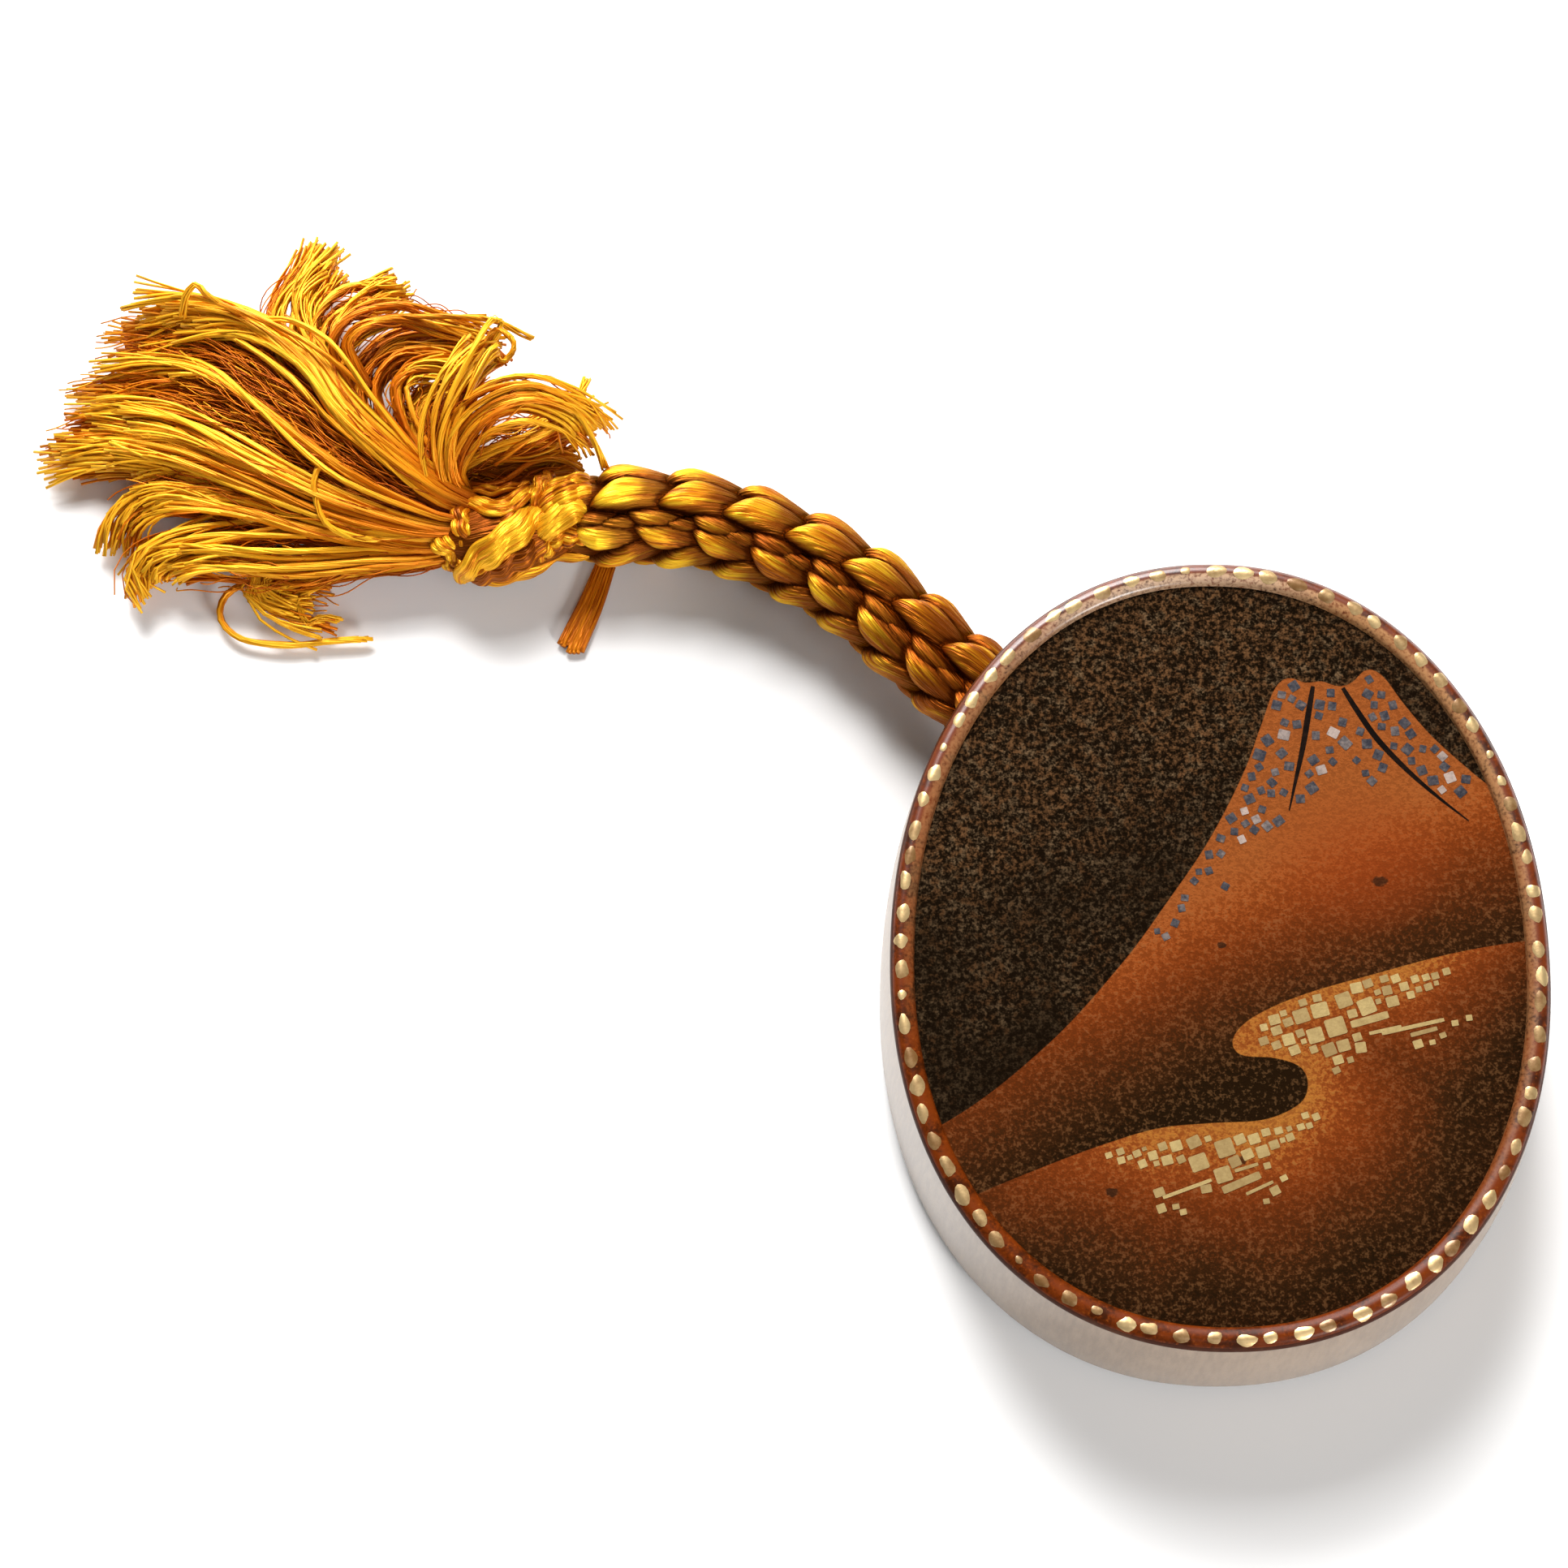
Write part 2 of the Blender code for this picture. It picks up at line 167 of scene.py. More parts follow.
def cut(piece: Piece, tool: Piece) -> None:
    """Cut a tool's shape out of a piece, and remove the tool."""
    pick(piece)
    cutting = piece.modifiers.new("cut", "BOOLEAN")
    cutting.operation = "DIFFERENCE"
    cutting.solver = "EXACT"
    cutting.object = tool
    bpy.ops.object.modifier_apply(modifier=cutting.name)
    bpy.data.objects.remove(tool, do_unlink=True)


def loose_mesh(name: str, points: Rows, faces: Sequence[Sequence[int]]) -> Piece:
    """Make a piece of soft goods.

    Args:
        name: its name.
        points: its points, in millimetres, one to a row.
        faces: for each face, the numbers of its points.

    Returns:
        The piece.
    """
    mesh = bpy.data.meshes.new(name)
    mesh.from_pydata((points * MM).tolist(), [], faces)
    mesh.validate()
    mesh.shade_smooth()
    piece = bpy.data.objects.new(name, mesh)
    bpy.context.collection.objects.link(piece)
    return piece


def add_values(piece: Piece, name: str, values: Rows) -> None:
    """Store one number for each point of a piece under a name that its finish reads."""
    layer = piece.data.attributes.new(name, "FLOAT", "POINT")
    layer.data.foreach_set("value", np.asarray(values, dtype=np.float32))


def add_corner_map(piece: Piece, name: str, places: Rows) -> None:
    """Store a map of the surface: one flat place for each corner of each face."""
    layer = piece.data.uv_layers.new(name=name)
    layer.data.foreach_set("uv", np.asarray(places, dtype=np.float32).ravel())


def dress(piece: Piece, *materials: Material) -> None:
    """Give a piece its materials, in the order of their slots."""
    piece.data.materials.clear()
    for material in materials:
        piece.data.materials.append(material)


def settle(piece: Piece, slot: str, *nodes: str) -> None:
    """Fasten a piece to the body, hide the solids it stands for, and report it."""
    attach(piece, BODY)
    if nodes:
        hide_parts(*nodes)
    LOG.info("%s: %d faces", piece.name, len(piece.data.polygons))


# ---- routes


def runs_along(points: Sequence[Vector]) -> list[float]:
    """How far along a row of points each one is."""
    runs = [0.0]
    for a, b in pairwise(points):
        runs.append(runs[-1] + (b - a).length)
    return runs


def heading(points: Sequence[Vector], at: int) -> Vector:
    """From the point before one of a row to the point after it."""
    return points[min(at + 1, len(points) - 1)] - points[max(at - 1, 0)]


def square_to(way: Vector, ahead: Vector) -> Vector:
    """The part of a way that is square to the way ahead, one unit long."""
    return (way - ahead * way.dot(ahead)).normalized()


def tube_faces(rings: int, sides: int) -> list[tuple[int, int, int, int]]:
    """The skin of a tube whose points are numbered round it, ring after ring.

    Args:
        rings: how many rings of points it has.
        sides: how many points each ring has.

    Returns:
        Its faces, row by row; both ends are open.
    """
    faces = []
    for low in range(0, (rings - 1) * sides, sides):
        for j in range(sides):
            m = (j + 1) % sides
            faces.append((low + j, low + m, low + sides + m, low + sides + j))
    return faces


def smooth_route(points: Sequence[Sequence[float]], count: int) -> list[Vector]:
    """Evenly spaced points on a smooth curve that passes through the given ones.

    Args:
        points: the points that the curve passes through.
        count: how many points to give back.

    Returns:
        The points, from the first given one to the last.
    """
    knots = [Vector(p) for p in points]
    knots = [2 * knots[0] - knots[1], *knots, 2 * knots[-1] - knots[-2]]
    steps = 24
    fine = []
    for a, b, c, d in zip(knots, knots[1:], knots[2:], knots[3:]):
        for k in range(steps):
            t = k / steps
            fine.append(0.5 * (2 * b + (c - a) * t + (2 * a - 5 * b + 4 * c - d) * t * t
                               + (3 * b - a - 3 * c + d) * t ** 3))
    fine.append(knots[-2])
    runs = runs_along(fine)
    route = []
    at = 0
    for k in range(count):
        goal = runs[-1] * k / (count - 1)
        while at < len(fine) - 2 and runs[at + 1] < goal:
            at += 1
        share = (goal - runs[at]) / (runs[at + 1] - runs[at])
        route.append(fine[at].lerp(fine[at + 1], share))
    return route


def ease(share: float) -> float:
    """A share of the way from 0 to 1, eased at both ends."""
    share = min(max(share, 0.0), 1.0)
    return share * share * (3 - 2 * share)


def along(values: Sequence[float], share: float) -> float:
    """Blend the values at the root, the belly and the tip, for a share of the way."""
    root, belly, tip = values
    if share < BELLY_AT:
        return root + (belly - root) * ease(share / BELLY_AT)
    return belly + (tip - belly) * ease((share - BELLY_AT) / (1 - BELLY_AT))


# ---- finishes: nodes as sums


def sum_of(kind: str, swapped: bool = False) -> Callable[["Level", Any], "Level"]:
    """A method of Level that puts it and another value into one Math node.

    Args:
        kind: what the node does.
        swapped: whether the other value comes first.

    Returns:
        The method.
    """
    def method(level: "Level", other: Any) -> "Level":
        """Add the node."""
        pair = (other, level) if swapped else (level, other)
        node = level.mixing.node("ShaderNodeMath", {"operation": kind}, dict(enumerate(pair)))
        return Level(level.mixing, node.outputs[0])
    return method


class Level:
    """A number that varies over a surface, and takes ordinary arithmetic."""
    __add__ = __radd__ = sum_of("ADD")
    __sub__ = sum_of("SUBTRACT")
    __rsub__ = sum_of("SUBTRACT", swapped=True)
    __mul__ = __rmul__ = sum_of("MULTIPLY")
    __truediv__ = sum_of("DIVIDE")
    __pow__ = sum_of("POWER")
    at_most = sum_of("MINIMUM")
    at_least = sum_of("MAXIMUM")

    def __init__(self, mixing: "Mixing", plug: Socket) -> None:
        """Wrap an output socket of a finish that is being mixed."""
        self.mixing = mixing
        self.plug = plug

    def size(self) -> "Level":
        """The number without its sign."""
        return self.at_least(0.0 - self)

    def rise(self, low: float, high: float) -> "Level":
        """0 below low, 1 above high and smooth between; low may be the greater of the two."""
        settings = {"interpolation_type": "SMOOTHSTEP", "clamp": True}
        if low <= high:
            ends = {"From Min": low, "From Max": high, "To Min": 0.0, "To Max": 1.0}
        else:
            ends = {"From Min": high, "From Max": low, "To Min": 1.0, "To Max": 0.0}
        node = self.mixing.node("ShaderNodeMapRange", settings, {"Value": self, **ends})
        return Level(self.mixing, node.outputs["Result"])


class Mixing:
    """A finish while its nodes are put together."""

    def __init__(self, name: str) -> None:
        """Start an empty material under a name."""
        self.material = bpy.data.materials.new(name)
        self.material.use_nodes = True
        self.tree = self.material.node_tree
        self.tree.nodes.clear()

    def node(self, kind: str, settings: Mapping[str, Any], values: Mapping[Any, Any]) -> bpy.types.Node:
        """Add a node: its settings first, then the values or links of its sockets.

        Args:
            kind: the node's type.
            settings: its properties; "stops" are a ramp's places and colours.
            values: for each input, by name or number, a number, a colour or a socket.

        Returns:
            The node.
        """
        made = self.tree.nodes.new(kind)
        for name, value in settings.items():
            if name == "stops":
                ramp = made.color_ramp.elements
                while len(ramp) < len(value):
                    ramp.new(0.5)
                for element, (place, colour) in zip(ramp, value):
                    element.position = place
                    element.color = (*colour, 1.0)
            else:
                setattr(made, name, value)
        for name, value in values.items():
            socket = made.inputs[name]
            if isinstance(value, Level):
                self.tree.links.new(value.plug, socket)
            elif isinstance(value, Socket):
                self.tree.links.new(value, socket)
            elif isinstance(value, tuple) and socket.type == "RGBA":
                socket.default_value = (*value, 1.0)
            else:
                socket.default_value = value
        return made

    def place(self) -> Socket:
        """The place on the object, in millimetres."""
        read = self.node("ShaderNodeTexCoord", {}, {}).outputs["Object"]
        return self.node("ShaderNodeVectorMath", {"operation": "SCALE"},
                         {0: read, "Scale": 1 / MM}).outputs[0]

    def axis(self, place: Socket, name: str) -> Level:
        """One coordinate, X, Y or Z, of a place."""
        return Level(self, self.node("ShaderNodeSeparateXYZ", {}, {0: place}).outputs[name])

    def stored(self, name: str) -> Level:
        """A number that the mesh stores for each of its points."""
        read = self.node("ShaderNodeAttribute", {"attribute_name": name}, {})
        return Level(self, read.outputs["Fac"])

    def mapped(self, name: str, stretch: Point, shift: Point = (0, 0, 0)) -> Socket:
        """The place on one of the mesh's own maps, stretched and then shifted."""
        read = self.node("ShaderNodeUVMap", {"uv_map": name}, {}).outputs[0]
        return self.node("ShaderNodeMapping", {}, {"Vector": read, "Scale": stretch,
                                                   "Location": shift}).outputs[0]

    def noise(self, place: Socket, scale: float, detail: float = 2.0, roughness: float = 0.5) -> Level:
        """Soft cloudy noise with so many waves to a unit."""
        made = self.node("ShaderNodeTexNoise", {"noise_dimensions": "3D"},
                         {"Vector": place, "Scale": scale, "Detail": detail,
                          "Roughness": roughness})
        return Level(self, made.outputs["Fac"])

    def ramp(self, level: Level, stops: Sequence[tuple[float, Colour]]) -> Socket:
        """A colour read off a row of stops."""
        return self.node("ShaderNodeValToRGB", {"stops": stops}, {0: level}).outputs[0]

    def blend(self, low: Any, high: Any, share: Any) -> Socket:
        """Mix two colours by a share from 0 to 1."""
        sockets = {0: share, 6: low, 7: high}
        return self.node("ShaderNodeMix", {"data_type": "RGBA"}, sockets).outputs[2]

    def relief(self, height: Level, depth: float) -> Socket:
        """Fine relief from a height of 0 to 1, so many millimetres deep."""
        sockets = {"Height": height, "Distance": depth * MM, "Strength": 1.0}
        return self.node("ShaderNodeBump", {}, sockets).outputs[0]

    def done(self, **values: Any) -> Material:
        """Feed the surface's shader, whose sockets are named with _ for a space.

        Returns:
            The finished material.
        """
        sockets = {name.replace("_", " "): value for name, value in values.items()}
        shader = self.node("ShaderNodeBsdfPrincipled", {}, sockets)
        self.node("ShaderNodeOutputMaterial", {}, {"Surface": shader.outputs[0]})
        return self.material


# ---- finishes of the lacquer


@dataclass(frozen=True)
class SideLacquer:
    """Brown lacquer of the side, painted pale greyish as a reflection of the pale table round it,
    finely brushed upright, darker at the foot.
    """
    # ground and shade: the lacquer's brown with a painted reflection of the pale table in it
    ground: Colour = (0.310, 0.222, 0.152)
    shade: Colour = (0.195, 0.135, 0.090)
    fleck: Colour = (0.360, 0.250, 0.180)
    foot: Colour = (0.050, 0.026, 0.016)
    brush: float = 3.0

    def material(self) -> Material:
        """Mix the finish."""
        mix = Mixing("side_lacquer")
        place = mix.place()
        drawn = mix.node("ShaderNodeMapping", {}, {"Vector": place, "Scale": (1, 1, 0.12)})
        strokes = mix.noise(drawn.outputs[0], self.brush, 4.0, 0.65)
        clouds = mix.noise(place, 0.16, 2.0)
        grain = mix.noise(place, 6.0, 2.0)
        colour = mix.blend(self.shade, self.ground, (strokes * 0.9 + clouds * 0.5).rise(0.40, 0.95))
        colour = mix.blend(self.foot, colour, mix.axis(place, "Z").rise(0.2, 1.4))
        colour = mix.blend(colour, self.fleck, grain.rise(0.55, 0.8) * 0.3)
        return mix.done(
            Base_Color=colour,
            Roughness=grain * 0.10 + strokes * 0.10 + 0.26,
            Normal=mix.relief(strokes * 0.6 + grain * 0.4, 0.012),
            Coat_Weight=0.4, Coat_Roughness=0.18, Coat_IOR=1.45, Specular_IOR_Level=0.3)


@dataclass(frozen=True)
class RimLacquer:
    """Warm orange-brown lacquer of the rim bead, worn darker in places.

    A painted reflection lies on the bead's inner slope as a pale gold dust, thickest towards the top of
    the oval and palest there, as a painted highlight.
    """
    ground: Colour = (0.125, 0.0205, 0.0014)
    worn: Colour = (0.036, 0.0070, 0.0008)
    glow: Colour = (0.300, 0.075, 0.010)
    dust_and_sheen: Colour = (0.400, 0.200, 0.080)
    pale: Colour = (0.560, 0.370, 0.230)

    def material(self) -> Material:
        """Mix the finish."""
        mix = Mixing("rim_lacquer")
        place = mix.place()
        across, up = mix.axis(place, "X"), mix.axis(place, "Y")
        patches = mix.noise(place, 0.7, 3.0, 0.6)
        grain = mix.noise(place, 5.0, 2.0, 0.6)
        colour = mix.blend(self.worn, self.ground, (patches * 0.7 + grain * 0.3).rise(0.34, 0.56))
        colour = mix.blend(colour, self.glow, grain.rise(0.58, 0.78) * 0.35)

        # The painted reflection, laid as dust: where the bead faces the middle of the oval
        middle = mix.node("ShaderNodeVectorMath", {"operation": "MULTIPLY"},
                          {0: place, 1: (-0.05, -0.05, 0.0)}).outputs[0]
        facing = mix.node("ShaderNodeNewGeometry", {}, {}).outputs["Normal"]
        inward = Level(mix, mix.node("ShaderNodeVectorMath", {"operation": "DOT_PRODUCT"},
                                     {0: middle, 1: facing}).outputs["Value"])
        # thick weighs the painted reflection and the coat, more towards the top; crown is where the
        # reflection turns pale, a painted highlight
        thick = across * 0.009 + up * 0.024 + 0.30
        crown = up * 0.22 - across * 0.05 - 3.9
        dust_and_sheen = mix.blend(self.dust_and_sheen, self.pale, crown.rise(0.0, 1.0))
        colour = mix.blend(colour, dust_and_sheen, inward.rise(0.02, 0.22) * thick * grain.rise(0.2, 0.6))
        return mix.done(
            Base_Color=colour, Roughness=patches * 0.15 + 0.26,
            Normal=mix.relief(grain * 0.5 + patches * 0.5, 0.02),
            Coat_Weight=thick.rise(-0.1, 0.6) * 0.75 + 0.10, Coat_Roughness=0.30, Coat_IOR=1.6,
            Specular_IOR_Level=0.05)


@dataclass(frozen=True)
class DarkLacquer:
    """Near-black brown lacquer, for the back, the line under the rim and inside the bore."""
    name: str
    ground: Colour = (0.022, 0.009, 0.005)
    rub: Colour = (0.09, 0.035, 0.015)
    gloss: float = 0.25
    coat: float = 0.4

    def material(self) -> Material:
        """Mix the finish."""
        mix = Mixing(self.name)
        place = mix.place()
        clouds = mix.noise(place, 0.22, 3.0, 0.6)
        scuffs = mix.noise(place, 2.4, 4.0, 0.7)
        grain = mix.noise(place, 7.0, 1.0)
        colour = mix.blend(self.ground, self.rub, (clouds * 0.6 + scuffs * 0.4).rise(0.45, 0.72) * 0.7)
        return mix.done(
            Base_Color=colour, Roughness=scuffs * 0.2 + self.gloss,
            Normal=mix.relief(scuffs * 0.5 + grain * 0.5, 0.01), Coat_Weight=self.coat,
            Coat_Roughness=0.15, Coat_IOR=1.5, Specular_IOR_Level=0.5 * self.coat)


@dataclass(frozen=True)
class Powdered:
    """The picture: lacquer sprinkled with gold and orange powder, thick or thin by place.

    The mesh stores how far each point is inside the mountain ("ridge") and inside the
    mist ("mist"), in millimetres.
    """
    grain_scale: float = 3.7
    night: Colour = (0.0050, 0.0026, 0.0012)
    brown: Colour = (0.085, 0.034, 0.0110)
    gold_dust: Colour = (0.122, 0.074, 0.037)
    slope: Colour = (0.218, 0.058, 0.0125)
    copper: Colour = (0.190, 0.030, 0.0055)
    bank: Colour = (0.270, 0.096, 0.016)
    gap: Colour = (0.085, 0.024, 0.0050)
    glint: Colour = (0.105, 0.052, 0.020)
    bare: Colour = (0.014, 0.008, 0.004)
    worn: tuple[Point, ...] = ((9.1, 3.9, 0.5), (0.8, -12.1, 0.42), (-6.3, -13.9, 0.4),
                               (0.1, 0.2, 0.3))
    stops: tuple[tuple[float, Colour], ...] = (
        (0.0, (0.010, 0.0045, 0.0016)), (0.22, (0.028, 0.0092, 0.0026)),
        (0.42, (0.068, 0.0150, 0.0030)), (0.62, (0.125, 0.0240, 0.0040)),
        (0.82, (0.200, 0.0430, 0.0078)), (1.0, (0.245, 0.0620, 0.0160)))

    def material(self) -> Material:
        """Mix the finish."""
        mix = Mixing("powdered_picture")
        place = mix.place()
        across, up = mix.axis(place, "X"), mix.axis(place, "Y")
        powder = mix.noise(place, self.grain_scale, 1.0, 0.6)
        fine = mix.noise(place, self.grain_scale * 2.4, 1.0, 0.5)
        tints = mix.noise(place, self.grain_scale * 0.5, 1.0, 0.5)
        drifts = mix.noise(place, 0.8, 2.0, 0.6)
        clouds = mix.noise(place, 0.13, 2.0)
        grain = (powder * 0.62 + fine * 0.38 + (drifts - 0.5) * 0.12).rise(0.36, 0.70)
        ridge, mist = mix.stored("ridge"), mix.stored("mist")

        # The night sky: gold dust over black, browner towards the top and in patches
        warm = (clouds - 0.5) * 1.4 + up * 0.034 - across * 0.008 + 0.36
        dust_and_sheen = mix.blend(self.gold_dust, self.brown,
                         (tints + (warm - 0.5) * 0.22).rise(0.44, 0.64) * 0.75)
        sky = mix.blend(self.night, dust_and_sheen, grain ** 1.8 * (warm.rise(0.0, 1.1) * 0.95 + 0.10))

        # The mountain: thick powder along its left slope and top, thinning to the foot
        falling = up - across * 0.52 + (across - 4.7).at_least(0.0) * 0.13 + 0.3
        heart = (falling + 8.5).at_least(0.0) * 0.079 - 0.03
        body = self.sprinkle(mix, heart.at_most(1.0), grain, clouds, self.slope)
        redder = (1.0 - ((across - 8.0) ** 2.0 + (up - 5.2) ** 2.0 * 1.6) / 34.0).at_least(0.0)
        body = mix.blend(body, self.copper, redder * 0.40)

        # The mist: thick along its edge, thinning inwards and at both sides
        sides = ((across - 3.6).size() - 7.4).at_least(0.0) * 0.060
        haze = 0.97 - mist.at_least(0.0) * 0.088 - sides + (clouds - 0.5) * 0.25
        bank = self.sprinkle(mix, haze.at_least(0.14), grain, clouds, self.bank)

        on_hill = ridge.rise(-0.03, 0.03)
        in_mist = mist.rise(-0.03, 0.03)
        colour = mix.blend(mix.blend(sky, body, on_hill), bank, in_mist)
        colour = self.wear(mix, colour, across, up, powder)
        return mix.done(
            Base_Color=colour, Roughness=powder * 0.16 + 0.40,
            Normal=mix.relief(grain, 0.03), Specular_IOR_Level=0.0,
            Coat_Weight=0.05, Coat_Roughness=0.12, Coat_IOR=1.45)

    def sprinkle(self, mix: Mixing, thickness: Level, grain: Level, clouds: Level,
                 thick: Colour) -> Socket:
        """Colour an area by how thickly it is sprinkled.

        Args:
            mix: the finish being mixed.
            thickness: 0 where the ground is bare, 1 where the powder covers it.
            grain: fine noise, one wave to a grain.
            clouds: broad noise.
            thick: the colour of the thickest powder.

        Returns:
            The colour.
        """
        covered = thickness.rise(0.55, 1.05)
        uneven = thickness + (grain - 0.5) * (0.26 - covered * 0.04) + (clouds - 0.5) * 0.10
        colour = mix.blend(mix.ramp(uneven, self.stops), thick, uneven.rise(0.72, 1.0))
        glints = (grain - covered * 0.3).rise(0.40, 1.0) * (0.40 - covered * 0.24)
        colour = mix.blend(colour, self.gap, grain.rise(0.55, 0.05) * covered * 0.35)
        return mix.blend(colour, self.glint, glints)

    def wear(self, mix: Mixing, colour: Socket, across: Level, up: Level, powder: Level) -> Socket:
        """Bare the dark ground at the few worn spots.

        Args:
            mix: the finish being mixed.
            colour: the picture's colour.
            across, up: the place on it.
            powder: noise that makes the spots' edges uneven.

        Returns:
            The colour with the spots.
        """
        for x, y, wide in self.worn:
            away = (((across - x) ** 2.0 + (up - y) ** 2.0 * 2.2) / (wide * wide)
                    + (powder - 0.5) * 1.4)
            colour = mix.blend(colour, self.bare, away.rise(1.1, 0.5) * 0.8)
        return colour


@dataclass(frozen=True)
class LeafMetal:
    """Thin metal leaf under lacquer: each plate has its own tone, stored as "tone"."""
    name: str
    dull: Colour
    bright: Colour
    rubbed: Colour = (0.160, 0.070, 0.020)
    metal: float = 0.75
    roughness: float = 0.34
    speckle: float = 3.0
    coat: float = 0.3

    def material(self) -> Material:
        """Mix the finish."""
        mix = Mixing(self.name)
        place = mix.place()
        tone = mix.stored("tone")
        mottle = mix.noise(place, self.speckle, 3.0, 0.65)
        grain = mix.noise(place, 8.0, 1.0)
        share = (tone * 0.75 + mottle * 0.7).rise(0.25, 1.15)
        colour = mix.blend(self.dull, self.bright, share)
        colour = mix.blend(colour, self.rubbed, mottle.rise(0.64, 0.78) * 0.6)
        return mix.done(
            Base_Color=colour, Metallic=share * 0.4 + self.metal * 0.6,
            Roughness=mottle * 0.2 + (self.roughness - 0.1),
            Normal=mix.relief(mottle * 0.6 + grain * 0.4, 0.012),
            Coat_Weight=self.coat, Coat_Roughness=0.1, Coat_IOR=1.5)


# ---- finishes of the silk


SILK_GLINT = (1.0, 0.75, 0.35)


@dataclass(frozen=True)
class Silk:
    """Golden silk floss: fine fibres along the strand, with deep brown painted shade in the creases.

    The mesh has a map "fibre" whose first axis runs along the fibres, and stores how much painted shade
    each point has ("fold"), its strand's tone ("tone") and how much darker that stretch of the cord is
    made ("darkening"), each from 0 to 1.
    """
    name: str
    light: Colour = (0.98, 0.56, 0.018)
    middle: Colour = (0.72, 0.215, 0.0026)
    deep: Colour = (0.055, 0.0080, 0.0004)
    dull_brown: Colour = (0.205, 0.0390, 0.0008)
    fibres: float = 60.0
    contrast: float = 0.30
    metal: float = 0.42
    roughness: float = 0.36
    relief: float = 0.12

    def material(self) -> Material:
        """Mix the finish."""
        mix = Mixing(self.name)
        fine = mix.noise(mix.mapped("fibre", (4.0, self.fibres, 1.0)), 1.0, 2.0, 0.55)
        broad = mix.noise(mix.mapped("fibre", (2.5, self.fibres * 0.3, 1.0), (3, 5, 0)), 1.0, 2.0)
        fold, tone, age = mix.stored("fold"), mix.stored("tone"), mix.stored("age")
        streak = (fine - 0.5) * 1.5 + (broad - 0.5) * 1.5 + 0.5
        level = streak + (tone - 0.5) * self.contrast + (1.0 - age) * 0.19
        colour = mix.ramp(level, ((0.16, self.dull_brown), (0.48, self.middle), (0.84, self.light)))
        colour = mix.blend(colour, self.dull_brown, age * (1.25 - streak))
        # Painted shade: dull brown, then deep brown, in the creases
        colour = mix.blend(colour, self.dull_brown, fold.rise(0.03, 0.42) * 0.90)
        colour = mix.blend(colour, self.deep, fold.rise(0.28, 0.90) * 0.95)
        shut = fold * 0.55 + age * 0.10 + self.metal
        return mix.done(
            Base_Color=colour, Metallic=shut.at_most(1.0),
            Roughness=fine * 0.16 + fold * 0.15 + (self.roughness - 0.08),
            Normal=mix.relief(streak, self.relief), Specular_IOR_Level=0.45,
            Specular_Tint=SILK_GLINT)


@dataclass(frozen=True)
class ThreadSilk:
    """The tassel's silk: each thread reads one row of the map "OFBake", root to tip; the row is its
    tone, painted shade for threads low in a lock and painted light for those on top.
    """
    name: str = "tassel_silk"
    deep: Colour = (0.310, 0.0520, 0.0012)
    middle: Colour = (0.64, 0.165, 0.0022)
    light: Colour = (0.86, 0.425, 0.016)
    rows: int = 64

    def material(self) -> Material:
        """Mix the finish."""
        mix = Mixing(self.name)
        place = mix.mapped("OFBake", (1.0, 1.0, 1.0))
        run, tone = mix.axis(place, "X"), mix.axis(place, "Y")
        patch = mix.noise(mix.mapped("OFBake", (7.0, self.rows * 1.7, 1.0), (2, 7, 0)), 1.0, 2.0)
        level = (tone * 0.80 + (patch - 0.5) * 0.34 + run.rise(0.62, 1.0) * 0.30
                 + run.rise(0.2, 0.8) * tone * 0.16 + run.rise(0.05, 0.45) * 0.12 - 0.08)
        colour = mix.ramp(level, ((0.06, self.deep), (0.44, self.middle), (0.86, self.light)))
        colour = mix.blend(colour, self.deep, run.rise(0.16, 0.02) * 0.7)
        return mix.done(
            Base_Color=colour, Metallic=(0.50 - level * 0.30).at_least(0.25),
            Roughness=patch * 0.15 + 0.30,
            Specular_IOR_Level=0.45, Specular_Tint=SILK_GLINT)


# ---- the studio


